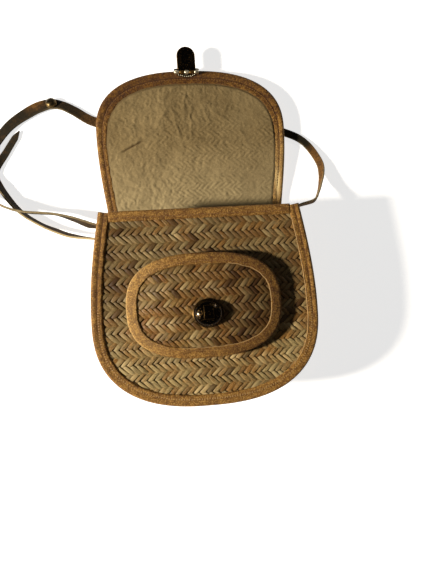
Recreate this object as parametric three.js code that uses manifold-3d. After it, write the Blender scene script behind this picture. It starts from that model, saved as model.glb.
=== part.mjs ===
// A woven rush sling bag lying on its back, flap open, strap loose.
// Millimetres, +Z up. The flap points along +Y and the table is z = 0.
import * as THREE from 'three';
import { mergeVertices } from 'three/addons/utils/BufferGeometryUtils.js';
import Module from 'manifold-3d';

const wasm = await Module();
wasm.setup();

// Walls and clearances
const woven = 2.5;
const pocketWoven = 2.2;
const lining = 0.8;
const leather = 1.2;
const gap = 0.3;

// Outlines: half width at the mouth line, widest half width, how far along that lies,
// full reach, and the power that rounds the far corners
const front = { startHalf: 99.7, fullHalf: 112.5, fullRun: 108, reach: 196, round: 2.5 };
const back = { ...front, startHalf: 96 };
const flap = { startHalf: 96, fullHalf: 103.9, fullRun: 94, reach: 160.9, round: 2.5 };

// Heights above the table
const bindingHalf = woven / 2 + gap + leather;
const depth = 67.25;
const backLevel = bindingHalf;
const frontLevel = depth - bindingHalf;
const flapLift = 8;
const flapLiftRun = 95;
const crown = { height: 2, halfX: 92, halfY: 84, middleY: -97 };

// Folded leather strips
const bindingWide = 11.5;
const panelInset = leather + gap + 0.1;
const mouthBindingHalf = 85.2;
const gussetEdge = { leather: 1, deep: 9, low: 5.9, high: 61.4 };

// Gusset
const gussetThick = 2.2;
const gussetInset = bindingWide + 2 * gap;
const gussetBulge = 2.6;

// Lining
const liningInBag = 18;
const liningBagHalf = 81;

// Pocket
const pocket = { middleX: -2.2, middleY: -96.6, halfX: 75.8, halfY: 51.2, round: 2.6, stand: 7.5 };
const pillow = { rise: 7.2, flat: 0.42, fall: 1.6 };
const gape = { lift: 4, from: 8 };
const pocketBindingWide = 11;
const pocketBindingSlack = 0.4;
const pocketWall = 1.8;
const pocketMouthAngle = 30;

// Lock on the pocket
const lock = { y: -104, radius: 15.1, squash: 0.93, rim: 1.2, height: 10 };
const lockSlot = { wide: 21.5, deep: 20.8, low: 1.5, high: 5.9 };
const button = { wide: 9.4, top: 7.9, bottom: -5.5, floor: 7, travel: 3, proud: 1.03 };

// Clasp on the flap's tip
const clasp = { half: 13.6, grip: 8.3, sheet: 1, lip: 0.7, x: -2 };
const knuckle = { radius: 2.1, pin: 0.8, bore: 1.1, count: 5, back: 3.9, above: 2.5 };
const tongue = { half: 10, near: 2.5, tip: 27.6, thick: 2.6, bevel: 0.7, catchRadius: 4.2, catchHigh: 1 };

// Strap
const strapThick = 2.2;
const strapCorner = 0.5;
const strapBevel = 0.1;
const strapTipRun = 1;
const strapTipWidth = 0.25;
const stepsPerSpan = 2;

// The strap's route: place on the table plan, height of its lower edge, lean from lying flat to on edge,
// and width, since it was cut by hand
const strapRoute = [
  { x: 97.6, y: -36, lift: 28.4, roll: -90, wide: 8.2 },
  { x: 93.5, y: -12, lift: 28.4, roll: -90, wide: 8.2 },
  { x: 105, y: 1, lift: 27.9, roll: -94, wide: 8.2 },
  { x: 128.5, y: 9, lift: 22.3, roll: -104, wide: 8.2 },
  { x: 135.5, y: 17.7, lift: 15.3, roll: -100, wide: 8.2 },
  { x: 141.3, y: 29.7, lift: 8.2, roll: -88, wide: 8.2 },
  { x: 145.2, y: 42.3, lift: 2.9, roll: -66, wide: 8.2 },
  { x: 145, y: 55.8, lift: 0.4, roll: -34, wide: 8.2 },
  { x: 129.4, y: 80.7, lift: 0, roll: 0, wide: 8.2 },
  { x: 108.6, y: 92.2, lift: 0, roll: 0, wide: 8.6 },
  { x: 40, y: 107, lift: 0, roll: 0, wide: 9.5 },
  { x: -50, y: 107, lift: 0, roll: 0, wide: 10 },
  { x: -104.5, y: 110.6, lift: 0, roll: 2, wide: 10.6 },
  { x: -128.2, y: 123.9, lift: 0, roll: 12, wide: 10.5 },
  { x: -139.2, y: 129.2, lift: 0, roll: 18, wide: 10.6 },
  { x: -150.6, y: 131.4, lift: 0, roll: 13, wide: 11.6 },
  { x: -162.6, y: 129, lift: 0, roll: 8, wide: 12.4 },
  { x: -175, y: 123.5, lift: 0, roll: 4, wide: 12 },
  { x: -199.8, y: 105.5, lift: 0.2, roll: 7, wide: 10.4 },
  { x: -227, y: 59.6, lift: 0.4, roll: 34, wide: 10.4 },
  { x: -225, y: 41.5, lift: 2, roll: 62, wide: 11 },
  { x: -215.5, y: 27.8, lift: 6.5, roll: 84, wide: 11 },
  { x: -200, y: 17.7, lift: 11.5, roll: 92, wide: 11 },
  { x: -183.6, y: 12.5, lift: 11.9, roll: 94, wide: 11 },
  { x: -151, y: 8.6, lift: 10, roll: 94, wide: 11 },
  { x: -134, y: 2.9, lift: 11, roll: 78, wide: 11 },
  { x: -116.1, y: -5.3, lift: 20, roll: 64, wide: 11 },
  { x: -102, y: -9, lift: 24, roll: 90, wide: 11 },
  { x: -95.6, y: -11, lift: 24.5, roll: 90, wide: 11 },
  { x: -94, y: -15.5, lift: 24.5, roll: 90, wide: 11 },
  { x: -95.6, y: -20, lift: 24.5, roll: 90, wide: 11 },
  { x: -102, y: -21.6, lift: 23.5, roll: 90, wide: 11 },
  { x: -135.5, y: -14.9, lift: 8, roll: 68, wide: 11 },
  { x: -154.2, y: -7.2, lift: 2.3, roll: 68, wide: 11 },
  { x: -169.4, y: 0.4, lift: 0.2, roll: 74, wide: 10.8 },
  { x: -190.1, y: 15.6, lift: 0.2, roll: 72, wide: 10.6 },
  { x: -209.4, y: 43.2, lift: 0.2, roll: 60, wide: 9.6 },
  { x: -214.5, y: 57.3, lift: 0.2, roll: 34, wide: 8.4 },
  { x: -200.9, y: 81.9, lift: 0, roll: 0, wide: 7.2 },
  { x: -186.5, y: 103.8, lift: 0, roll: 0, wide: 6.4 },
];
const studAt = 15;
const stud = { foot: 6, rim: 0.9, tall: 4.4 };
const strapLoop = { y: -15.5, wide: 6.4, thick: 1.8, low: 14, high: 46, stand: 5.6, ramp: 6 };

// Colours
const rush = new THREE.MeshStandardMaterial({ color: 0x9c7d4c, roughness: 0.75 });
const rushDark = new THREE.MeshStandardMaterial({ color: 0x8f6b3c, roughness: 0.75 });
const tan = new THREE.MeshStandardMaterial({ color: 0x9a6a32, roughness: 0.8 });
const cloth = new THREE.MeshStandardMaterial({ color: 0x97825a, roughness: 0.95 });
const strapHide = new THREE.MeshStandardMaterial({ color: 0x7a5a34, roughness: 0.7 });
const gunmetal = new THREE.MeshStandardMaterial({ color: 0x1d1a18, roughness: 0.2, metalness: 0.9 });
const bright = new THREE.MeshStandardMaterial({ color: 0xb9a886, roughness: 0.3, metalness: 0.9 });

const smooth = (t) => t * t * (3 - 2 * t);
const clamp01 = (t) => Math.min(1, Math.max(0, t));
const vector = (x, y, z) => new THREE.Vector3(x, y, z);

// A closed body from corner points and triangles, turned outside out.
function solid(points, triangles) {
  let volume = 0;
  for (const [a, b, c] of triangles) {
    volume += points[a].dot(points[b].clone().cross(points[c]));
  }
  const faces = volume < 0 ? triangles.map(([a, b, c]) => [a, c, b]) : triangles;
  const geometry = new THREE.BufferGeometry().setFromPoints(points);
  geometry.setIndex(faces.flat());
  geometry.computeVertexNormals();
  return geometry;
}

// A section carried through a number of stations; place(station, a, b) gives each corner.
function sweep(section, stations, place, closed = false) {
  const points = [];
  for (let i = 0; i < stations; i++) {
    for (const corner of section) points.push(place(i, corner.x, corner.y));
  }
  const around = section.length;
  const triangles = [];
  const spans = closed ? stations : stations - 1;
  for (let i = 0; i < spans; i++) {
    const here = i * around;
    const next = ((i + 1) % stations) * around;
    for (let k = 0; k < around; k++) {
      const m = (k + 1) % around;
      triangles.push([here + k, next + k, next + m], [here + k, next + m, here + m]);
    }
  }
  if (!closed) {
    const turn = Math.sign(THREE.ShapeUtils.area(section));
    const far = (stations - 1) * around;
    for (const [a, b, c] of THREE.ShapeUtils.triangulateShape(section, [])) {
      const same = Math.sign(THREE.ShapeUtils.area([section[a], section[b], section[c]])) === turn;
      const [p, q, r] = same ? [a, b, c] : [a, c, b];
      triangles.push([p, q, r], [far + p, far + r, far + q]);
    }
  }
  return solid(points, triangles);
}

// A thin wall over a grid; place(row, column, side) gives the lower (0) or upper (1) face.
function wall(rows, columns, place) {
  const points = [];
  for (const side of [1, 0]) {
    for (let i = 0; i < rows; i++) {
      for (let j = 0; j < columns; j++) points.push(place(i, j, side));
    }
  }
  const under = rows * columns;
  const at = (i, j) => i * columns + j;
  const triangles = [];
  for (let i = 0; i < rows - 1; i++) {
    for (let j = 0; j < columns - 1; j++) {
      const [a, b, c, d] = [at(i, j), at(i + 1, j), at(i + 1, j + 1), at(i, j + 1)];
      triangles.push([a, b, c], [a, c, d]);
      triangles.push([under + a, under + c, under + b], [under + a, under + d, under + c]);
    }
  }
  const rim = [];
  for (let i = 0; i < rows - 1; i++) rim.push(at(i, 0));
  for (let j = 0; j < columns - 1; j++) rim.push(at(rows - 1, j));
  for (let i = rows - 1; i > 0; i--) rim.push(at(i, columns - 1));
  for (let j = columns - 1; j > 0; j--) rim.push(at(0, j));
  rim.forEach((p, k) => {
    const q = rim[(k + 1) % rim.length];
    triangles.push([q, p, under + p], [q, under + p, under + q]);
  });
  return solid(points, triangles);
}

function toManifold(geometry) {
  const bare = geometry.clone();
  bare.deleteAttribute('normal');
  bare.deleteAttribute('uv');
  const merged = mergeVertices(bare, 1e-4);
  const mesh = new wasm.Mesh({
    numProp: 3,
    vertProperties: new Float32Array(merged.attributes.position.array),
    triVerts: new Uint32Array(merged.index.array),
  });
  return new wasm.Manifold(mesh);
}

function toGeometry(manifold) {
  const mesh = manifold.getMesh();
  const geometry = new THREE.BufferGeometry();
  geometry.setAttribute('position', new THREE.BufferAttribute(new Float32Array(mesh.vertProperties), 3));
  geometry.setIndex(new THREE.BufferAttribute(new Uint32Array(mesh.triVerts), 1));
  geometry.computeVertexNormals();
  return geometry;
}

function block(low, high) {
  const size = high.clone().sub(low);
  const middle = low.clone().add(high).multiplyScalar(0.5);
  return new THREE.BoxGeometry(size.x, size.y, size.z).translate(middle.x, middle.y, middle.z);
}

// Panel outlines

function halfWidth(shape, run) {
  if (run <= shape.fullRun) {
    const ease = Math.sin((Math.PI / 2) * (run / shape.fullRun));
    return shape.startHalf + (shape.fullHalf - shape.startHalf) * ease;
  }
  const past = (run - shape.fullRun) / (shape.reach - shape.fullRun);
  return shape.fullHalf * Math.max(0, 1 - past ** shape.round) ** (1 / shape.round);
}

function insetShape(shape, inset) {
  return {
    ...shape,
    startHalf: shape.startHalf - inset,
    fullHalf: shape.fullHalf - inset,
    reach: shape.reach - inset,
  };
}

// Distances from the mouth line down one side: even to the widest place, then by angle round the end.
function sideRuns(shape, first, evenSteps, roundSteps) {
  const runs = [];
  for (let i = 0; i < evenSteps; i++) runs.push(first + ((shape.fullRun - first) * i) / evenSteps);
  for (let i = 0; i <= roundSteps; i++) {
    const bend = Math.sin(((Math.PI / 2) * i) / roundSteps) ** (2 / shape.round);
    runs.push(shape.fullRun + (shape.reach - shape.fullRun) * bend);
  }
  return runs;
}

// Edge points with outward normals, anticlockwise seen from above.
function withNormals(points, closed) {
  const last = points.length - 1;
  return points.map(([x, y], i) => {
    const before = points[i > 0 ? i - 1 : closed ? last : 0];
    const after = points[i < last ? i + 1 : closed ? 0 : last];
    const along = new THREE.Vector2(after[0] - before[0], after[1] - before[1]).normalize();
    return { x, y, nx: along.y, ny: -along.x };
  });
}

function sidePoints(shape, way, first) {
  const left = sideRuns(shape, first, 8, 11).map((run) => [-halfWidth(shape, run), way * run]);
  const right = left.slice(0, -1).map(([x, y]) => [-x, y]);
  return { left, right };
}

function bodyEdge(shape, first) {
  const { left, right } = sidePoints(shape, -1, first);
  return [...left, ...right.reverse()];
}

function backFlapEdge() {
  const { left, right } = sidePoints(flap, 1, 0);
  return withNormals([...bodyEdge(back, 0), ...right.slice(1), ...left.slice(1).reverse()], true);
}

function pocketEdge(from, to, steps) {
  const points = [];
  for (let i = 0; i < steps; i++) {
    const spans = to - from === 360 ? steps : steps - 1;
    const angle = THREE.MathUtils.degToRad(from + ((to - from) * i) / spans);
    const reach = (value, half) => half * Math.sign(value) * Math.abs(value) ** (2 / pocket.round);
    const up = reach(Math.sin(angle), pocket.halfY);
    points.push([pocket.middleX + reach(Math.cos(angle), pocket.halfX), pocket.middleY + up]);
  }
  return withNormals(points, to - from === 360);
}

// Surface heights

const liftAt = (y) => flapLift * smooth(clamp01(y / flapLiftRun));
const backHeight = (y) => backLevel + liftAt(y);

function frontHeight(x, y) {
  const far = (x / crown.halfX) ** 2 + ((y - crown.middleY) / crown.halfY) ** 2;
  return frontLevel + crown.height * Math.max(0, 1 - far) ** 2;
}

// Folded strip section: a runs in from the edge, b across the panel.
function foldedStrip(panelThick, sheet, wide) {
  const inner = panelThick / 2 + gap;
  const outer = inner + sheet;
  const corners = [
    [0, -outer], [wide, -outer], [wide, -inner], [sheet, -inner],
    [sheet, inner], [wide, inner], [wide, outer], [0, outer],
  ];
  return corners.map(([a, b]) => new THREE.Vector2(a, b));
}

function alongEdge(section, edge, heightAt, closed) {
  const place = (i, a, b) => {
    const { x, y, nx, ny } = edge[i];
    const px = x - nx * a;
    const py = y - ny * a;
    return vector(px, py, heightAt(px, py) + b);
  };
  return sweep(section, edge.length, place, closed);
}

// Rows of a panel from its outline: each row is a height y and a half width.
function panelWall(rows, columns, thick, heightAt, base = -thick / 2) {
  const place = (i, j, side) => {
    const x = rows[i].half * (-1 + (2 * j) / (columns - 1));
    return vector(x, rows[i].y, heightAt(x, rows[i].y) + base + side * thick);
  };
  return wall(rows.length, columns, place);
}

function panelRows(shape, way, first, evenSteps, roundSteps) {
  const runs = sideRuns(shape, first, evenSteps, roundSteps).slice(0, -1);
  return runs.map((run) => ({ y: way * run, half: halfWidth(shape, run) }));
}

function backFlapPanel() {
  const down = panelRows(insetShape(back, panelInset), -1, 0, 4, 9);
  const up = panelRows(insetShape(flap, panelInset), 1, 0, 8, 9);
  return panelWall([...down.reverse(), ...up.slice(1)], 7, woven, (x, y) => backHeight(y));
}

function frontPanel() {
  const rows = panelRows(insetShape(front, panelInset), -1, panelInset, 8, 9);
  return panelWall(rows, 13, woven, frontHeight);
}

function flapLining() {
  const shape = { ...insetShape(flap, bindingWide + gap), startHalf: liningBagHalf };
  const rows = [{ y: -liningInBag, half: liningBagHalf }, ...panelRows(shape, 1, 0, 8, 9)];
  return panelWall(rows, 7, lining, (x, y) => backHeight(y), woven / 2 + gap);
}

// Gusset

const gussetLow = backLevel + woven / 2 + gap;
const gussetHigh = frontLevel - woven / 2 - gap;
const gussetBack = withNormals(bodyEdge(back, panelInset), false);
const gussetFront = withNormals(bodyEdge(front, panelInset), false);

function gussetPoint(i, inset, level) {
  const low = gussetBack[i];
  const high = gussetFront[i];
  const away = inset - gussetBulge * Math.sin(Math.PI * level);
  return vector(
    THREE.MathUtils.lerp(low.x - low.nx * away, high.x - high.nx * away, level),
    THREE.MathUtils.lerp(low.y - low.ny * away, high.y - high.ny * away, level),
    THREE.MathUtils.lerp(gussetLow, gussetHigh, level),
  );
}

function gusset() {
  const levels = 5;
  const place = (i, j, side) => gussetPoint(j, gussetInset + side * gussetThick, i / (levels - 1));
  return wall(levels, gussetBack.length, place);
}

// The folded strip on one of the gusset's mouth edges; end is its first or last station.
function gussetMouthEdge(end) {
  const inner = end === 0 ? 1 : end - 1;
  const steps = 7;
  const middle = gussetInset + gussetThick / 2;
  const place = (i, a, b) => {
    const z = THREE.MathUtils.lerp(gussetEdge.low, gussetEdge.high, i / (steps - 1));
    const level = (z - gussetLow) / (gussetHigh - gussetLow);
    const start = gussetPoint(end, middle + b, level);
    const down = gussetPoint(inner, middle + b, level).sub(start).setZ(0).normalize();
    return start.addScaledVector(down, a - panelInset);
  };
  return sweep(foldedStrip(gussetThick + gap, gussetEdge.leather, gussetEdge.deep), steps, place);
}

function mouthBinding() {
  const steps = 9;
  const place = (i, a, b) => {
    const x = mouthBindingHalf * (-1 + (2 * i) / (steps - 1));
    return vector(x, -a, frontLevel + b);
  };
  return sweep(foldedStrip(woven, leather, bindingWide - 1), steps, place);
}

// Pocket

const pocketLevel = frontLevel + pocket.stand;

// A low pillow: level round the lock, falling to the edge, with the mouth side gaping
function pocketHeight(x, y) {
  const share = (value, half) => (Math.abs(value) / half) ** pocket.round;
  const above = y - pocket.middleY;
  const beside = x - pocket.middleX;
  const far = (share(beside, pocket.halfX) + share(above, pocket.halfY)) ** (1 / pocket.round);
  const past = clamp01((far - pillow.flat) / (1 - pillow.flat));
  const open = smooth(clamp01((above - gape.from) / (pocket.halfY - gape.from)));
  return pocketLevel + gape.lift * open + pillow.rise * (1 - past ** pillow.fall);
}

function pocketPanel() {
  const steps = 21;
  const limit = 80;
  const rows = [];
  for (let i = 0; i < steps; i++) {
    const angle = THREE.MathUtils.degToRad(-limit + (2 * limit * i) / (steps - 1));
    const part = Math.sign(angle) * Math.abs(Math.sin(angle)) ** (2 / pocket.round);
    const half = (pocket.halfX - panelInset) * Math.cos(angle) ** (2 / pocket.round);
    rows.push({ y: pocket.middleY + (pocket.halfY - panelInset) * part, half });
  }
  const heightAt = (x, y) => pocketHeight(x + pocket.middleX, y);
  return panelWall(rows, 23, pocketWoven, heightAt).translate(pocket.middleX, 0, 0);
}

function pocketGusset() {
  const edge = pocketEdge(180 - pocketMouthAngle, 360 + pocketMouthAngle, 31);
  const inset = pocketBindingWide + gap;
  const section = [[inset, 0], [inset, 1], [inset + pocketWall, 1], [inset + pocketWall, 0]];
  const place = (i, a, level) => {
    const { x, y, nx, ny } = edge[i];
    const px = x - nx * a;
    const py = y - ny * a;
    const top = pocketHeight(px, py) - pocketWoven / 2 - gap;
    return vector(px, py, THREE.MathUtils.lerp(frontHeight(px, py) + woven / 2 + gap, top, level));
  };
  return sweep(section.map(([a, b]) => new THREE.Vector2(a, b)), edge.length, place);
}

function pocketBinding() {
  const section = foldedStrip(pocketWoven + pocketBindingSlack, leather, pocketBindingWide);
  return alongEdge(section, pocketEdge(0, 360, 60), pocketHeight, true);
}

// Lock: a dome with a slot at its upper side and a recess for the thumb slide

function lockDome(scale) {
  const profile = [new THREE.Vector2(0, 0), new THREE.Vector2(lock.radius, 0)];
  const steps = 8;
  for (let i = 0; i <= steps; i++) {
    const angle = ((Math.PI / 2) * i) / steps;
    const out = i === steps ? 0 : lock.radius * Math.cos(angle);
    profile.push(new THREE.Vector2(out, lock.rim + (lock.height - lock.rim) * Math.sin(angle)));
  }
  return new THREE.LatheGeometry(profile, 36).rotateX(Math.PI / 2).scale(1, lock.squash, scale);
}

function lockCase() {
  const slotHalf = lockSlot.wide / 2;
  const slotEnd = lock.radius - lockSlot.deep;
  const slot = block(
    vector(-slotHalf, slotEnd, lockSlot.low),
    vector(slotHalf, 2 * lock.radius, lockSlot.high),
  );
  const recessHalf = button.wide / 2 + gap;
  const recess = block(
    vector(-recessHalf, button.bottom - button.travel - 2 * gap, button.floor),
    vector(recessHalf, button.top + gap, 2 * lock.height),
  );
  return toGeometry(toManifold(lockDome(1)).subtract(toManifold(slot)).subtract(toManifold(recess)));
}

function lockButton() {
  const half = button.wide / 2;
  const cutter = block(
    vector(-half, button.bottom, button.floor + gap),
    vector(half, button.top, 2 * lock.height),
  );
  return toGeometry(toManifold(lockDome(button.proud)).intersect(toManifold(cutter)));
}

// Clasp: a clip folded over the flap's tip, carrying hinge knuckles and their pin

const tipLevel = backHeight(flap.reach);
const clipTop = tipLevel + bindingHalf + gap + clasp.sheet;
const axisY = flap.reach - knuckle.back;
const axisZ = clipTop + knuckle.above;
const knuckleWide = (2 * clasp.half) / knuckle.count;

function rodAcross(radius, from, to) {
  const rod = new THREE.CylinderGeometry(radius, radius, to - from, 16);
  return toManifold(rod.rotateZ(Math.PI / 2).translate((from + to) / 2, axisY, axisZ));
}

function knuckleSpan(index) {
  const from = -clasp.half + index * knuckleWide;
  return [from + gap / 2, from + knuckleWide - gap / 2];
}

function claspPlate() {
  const outY = flap.reach + gap;
  const inY = flap.reach - clasp.grip;
  const low = tipLevel - bindingHalf - gap;
  const high = tipLevel + bindingHalf + gap;
  const sheet = clasp.sheet;
  const profile = new THREE.Shape([
    [inY, high], [outY, high], [outY, low], [inY, low], [inY, low - sheet],
    [outY + sheet, low - sheet], [outY + sheet, high + sheet + clasp.lip],
    [outY, high + sheet + clasp.lip], [outY, high + sheet], [inY, high + sheet],
  ].map(([y, z]) => new THREE.Vector2(y, z)));
  const clip = new THREE.ExtrudeGeometry(profile, { depth: 2 * clasp.half, bevelEnabled: false });
  clip.applyMatrix4(new THREE.Matrix4().set(0, 0, 1, -clasp.half, 1, 0, 0, 0, 0, 1, 0, 0, 0, 0, 0, 1));
  let plate = toManifold(clip).add(rodAcross(knuckle.pin, -clasp.half + gap, clasp.half - gap));
  for (let i = 0; i < knuckle.count; i += 2) {
    const [from, to] = knuckleSpan(i);
    const foot = block(
      vector(from, axisY - knuckle.radius, clipTop - sheet / 2),
      vector(to, axisY + knuckle.radius / 2, axisZ),
    );
    plate = plate.add(rodAcross(knuckle.radius, from, to)).add(toManifold(foot));
  }
  return toGeometry(plate);
}

function claspTongue() {
  const { half, near, tip, thick, bevel } = tongue;
  const outline = new THREE.Shape();
  outline.moveTo(-half + bevel, near + bevel);
  outline.lineTo(half - bevel, near + bevel);
  outline.lineTo(half - bevel, tip - half);
  outline.absarc(0, tip - half, half - bevel, 0, Math.PI, false);
  outline.closePath();
  const plate = new THREE.ExtrudeGeometry(outline, {
    depth: thick - 2 * bevel, bevelThickness: bevel, bevelSize: bevel, bevelSegments: 2, curveSegments: 20,
  });
  plate.translate(0, axisY, axisZ - thick / 2 + bevel);
  const catchTall = tongue.catchHigh + thick / 2;
  const boss = new THREE.CylinderGeometry(tongue.catchRadius - 0.5, tongue.catchRadius, catchTall, 24);
  boss.rotateX(Math.PI / 2).translate(0, axisY + (near + tip) / 2 + 1, axisZ + catchTall / 2);
  let piece = toManifold(plate).add(toManifold(boss));
  for (let i = 1; i < knuckle.count; i += 2) {
    const [from, to] = knuckleSpan(i);
    const arm = block(
      vector(from, axisY, axisZ - thick / 2),
      vector(to, axisY + near + 2 * bevel, axisZ + thick / 2),
    );
    piece = piece.add(rodAcross(knuckle.radius, from, to)).add(toManifold(arm));
  }
  return toGeometry(piece.subtract(rodAcross(knuckle.bore, -clasp.half, clasp.half)));
}

// Strap

const strapHeight = ({ lift, roll, wide }) => {
  const lean = THREE.MathUtils.degToRad(roll);
  return lift + (wide / 2) * Math.abs(Math.sin(lean)) + (strapThick / 2) * Math.abs(Math.cos(lean)) + gap;
};
const strapCurve = new THREE.CatmullRomCurve3(strapRoute.map((p) => vector(p.x, p.y, strapHeight(p))));

// The strap's middle, its width direction, its face direction and its width at a share of the route.
function strapFrame(share) {
  const along = share * (strapRoute.length - 1);
  const i = Math.min(Math.floor(along), strapRoute.length - 2);
  const between = (key) => THREE.MathUtils.lerp(strapRoute[i][key], strapRoute[i + 1][key], along - i);
  const middle = strapCurve.getPoint(share);
  const ahead = strapCurve.getTangent(share);
  const flat = vector(0, 0, 1).cross(ahead).normalize();
  const upright = ahead.clone().cross(flat).normalize();
  const lean = THREE.MathUtils.degToRad(between('roll'));
  const across = flat.clone().multiplyScalar(Math.cos(lean)).addScaledVector(upright, Math.sin(lean));
  const face = upright.clone().multiplyScalar(Math.cos(lean)).addScaledVector(flat, -Math.sin(lean));
  return { middle, across, face, wide: between('wide') };
}

function strap() {
  const b = strapThick / 2;
  const c = strapCorner;
  const d = 1 - strapBevel;
  const upper = [[1, b - c], [d, b], [-d, b], [-1, b - c]];
  const corners = [[-1, -b + c], [-d, -b], [d, -b], [1, -b + c], ...upper];
  const stations = (strapRoute.length - 1) * stepsPerSpan + 1;
  const place = (i, u, v) => {
    const { middle, across, face, wide } = strapFrame(i / (stations - 1));
    const fromTip = (stations - 1 - i) / strapTipRun;
    const half = (wide / 2) * THREE.MathUtils.lerp(strapTipWidth, 1, Math.min(1, fromTip));
    return middle.addScaledVector(across, u * half).addScaledVector(face, v);
  };
  return sweep(corners.map(([u, v]) => new THREE.Vector2(u, v)), stations, place);
}

// A low domed stud on the strap's upper face
function strapStud() {
  const { middle, face } = strapFrame(studAt / (strapRoute.length - 1));
  const { foot, rim, tall } = stud;
  const profile = [[0, 0], [foot, 0]];
  for (let i = 0; i < 5; i++) {
    const angle = (Math.PI * i) / 10;
    profile.push([foot * Math.cos(angle), rim + (tall - rim) * Math.sin(angle)]);
  }
  profile.push([0, tall]);
  const geometry = new THREE.LatheGeometry(profile.map(([r, h]) => new THREE.Vector2(r, h)), 20);
  const turn = new THREE.Quaternion().setFromUnitVectors(vector(0, 1, 0), face);
  const seat = middle.addScaledVector(face, strapThick / 2 + gap);
  return geometry.applyMatrix4(new THREE.Matrix4().makeRotationFromQuaternion(turn).setPosition(seat));
}

// A leather loop on the left gusset: both ends lie on the wall and the middle stands clear of it
function strapLoopStrip() {
  const below = gussetBack.findIndex((p) => p.y <= strapLoop.y);
  const share = (strapLoop.y - gussetBack[below - 1].y) / (gussetBack[below].y - gussetBack[below - 1].y);
  const wallAt = (z) => {
    const level = (z - gussetLow) / (gussetHigh - gussetLow);
    const above = gussetPoint(below - 1, gussetInset, level);
    return above.lerp(gussetPoint(below, gussetInset, level), share).x;
  };
  const { low, high, ramp, stand, thick, wide } = strapLoop;
  const steps = 14;
  const place = (i, a, b) => {
    const z = THREE.MathUtils.lerp(low, high, i / (steps - 1));
    const near = Math.min(z - low, high - z);
    const out = gap + stand * smooth(clamp01((near - ramp / 2) / ramp));
    return vector(wallAt(z) - out - b, strapLoop.y + a, z);
  };
  const half = wide / 2;
  const section = [[-half, 0], [half, 0], [half, thick], [-half, thick]];
  return sweep(section.map(([a, b]) => new THREE.Vector2(a, b)), steps, place);
}

// Assembly

const bag = new THREE.Group();
// The mouth line sits so that the bag's own box is centred on the origin.
bag.position.y = (back.reach - (axisY + tongue.tip)) / 2;

function addPiece(name, geometry, material, parent = bag) {
  const mesh = new THREE.Mesh(geometry, material);
  mesh.name = name;
  parent.add(mesh);
}

const bodyStrip = foldedStrip(woven, leather, bindingWide);
addPiece('back_flap_panel', backFlapPanel(), rush);
addPiece('front_panel', frontPanel(), rush);
addPiece('gusset', gusset(), rush);
addPiece('flap_lining', flapLining(), cloth);
addPiece('back_flap_binding', alongEdge(bodyStrip, backFlapEdge(), (x, y) => backHeight(y), true), tan);
const frontLine = withNormals(bodyEdge(front, 0), false);
addPiece('front_binding', alongEdge(bodyStrip, frontLine, () => frontLevel, false), tan);
addPiece('mouth_binding', mouthBinding(), tan);
addPiece('gusset_edge_left', gussetMouthEdge(0), tan);
addPiece('gusset_edge_right', gussetMouthEdge(gussetBack.length - 1), tan);
addPiece('pocket_panel', pocketPanel(), rushDark);
addPiece('pocket_gusset', pocketGusset(), rushDark);
addPiece('pocket_binding', pocketBinding(), tan);

const lockGroup = new THREE.Group();
lockGroup.position.set(0, lock.y, pocketHeight(0, lock.y) + pocketWoven / 2 + gap);
bag.add(lockGroup);
addPiece('lock_case', lockCase(), gunmetal, lockGroup);
addPiece('lock_button', lockButton(), gunmetal, lockGroup);

const claspGroup = new THREE.Group();
claspGroup.position.x = clasp.x;
bag.add(claspGroup);
addPiece('clasp_plate', claspPlate(), bright, claspGroup);
addPiece('clasp_tongue', claspTongue(), gunmetal, claspGroup);
addPiece('strap', strap(), strapHide);
addPiece('strap_stud', strapStud(), gunmetal);
addPiece('strap_loop', strapLoopStrip(), strapHide);

const root = new THREE.Group();
root.add(bag);

export default root;
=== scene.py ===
import math

import bmesh
import bpy
import numpy as np
from mathutils import Matrix, Vector


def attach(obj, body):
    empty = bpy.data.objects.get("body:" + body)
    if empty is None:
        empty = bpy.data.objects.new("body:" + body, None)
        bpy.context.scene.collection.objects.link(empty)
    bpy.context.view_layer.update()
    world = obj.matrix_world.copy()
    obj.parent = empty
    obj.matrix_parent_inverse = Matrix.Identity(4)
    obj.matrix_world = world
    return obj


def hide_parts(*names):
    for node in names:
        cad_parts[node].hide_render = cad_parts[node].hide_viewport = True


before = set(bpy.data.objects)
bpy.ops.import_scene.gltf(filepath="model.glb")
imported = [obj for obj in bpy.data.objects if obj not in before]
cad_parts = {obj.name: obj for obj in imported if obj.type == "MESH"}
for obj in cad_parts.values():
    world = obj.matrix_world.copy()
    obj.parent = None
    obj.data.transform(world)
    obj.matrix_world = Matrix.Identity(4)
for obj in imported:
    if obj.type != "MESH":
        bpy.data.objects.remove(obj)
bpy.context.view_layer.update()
scene = bpy.context.scene

# Sizes are millimetres, with the mouth line at y = 0. placed() turns them into the frame's metres.
mm = 0.001
bag = {
    "mouthY": 5.7,
    "woven": 2.5,
    "leather": 1.2,
    "gap": 0.3,
    "depth": 67.25,
    "bindingWide": 11.5,
    "mouthBindingWide": 10.5,
    "flapLift": 8,
    "flapLiftRun": 95,
    "crownHigh": 2,
    "crownHalfX": 92,
    "crownHalfY": 84,
    "crownY": -97,
    "frontSag": 0.8,
    "sagWide": 46,
    "sagLong": 40,
    "sagSeed": 3,
}
frontShape = {"startHalf": 99.7, "fullHalf": 112.5, "fullRun": 108, "reach": 196, "round": 2.5}
backShape = dict(frontShape, startHalf=96)
flapShape = {"startHalf": 96, "fullHalf": 103.9, "fullRun": 94, "reach": 160.9, "round": 2.5}
pocket = {
    "middleX": -2.2, "middleY": -96.6, "halfX": 75.8, "halfY": 51.2, "round": 2.6, "stand": 7.5,
    "woven": 2.2, "bindingWide": 11, "slack": 0.4,
    "rise": 7.2, "flat": 0.42, "fall": 1.6, "gape": 4, "gapeFrom": 8,
}

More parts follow.
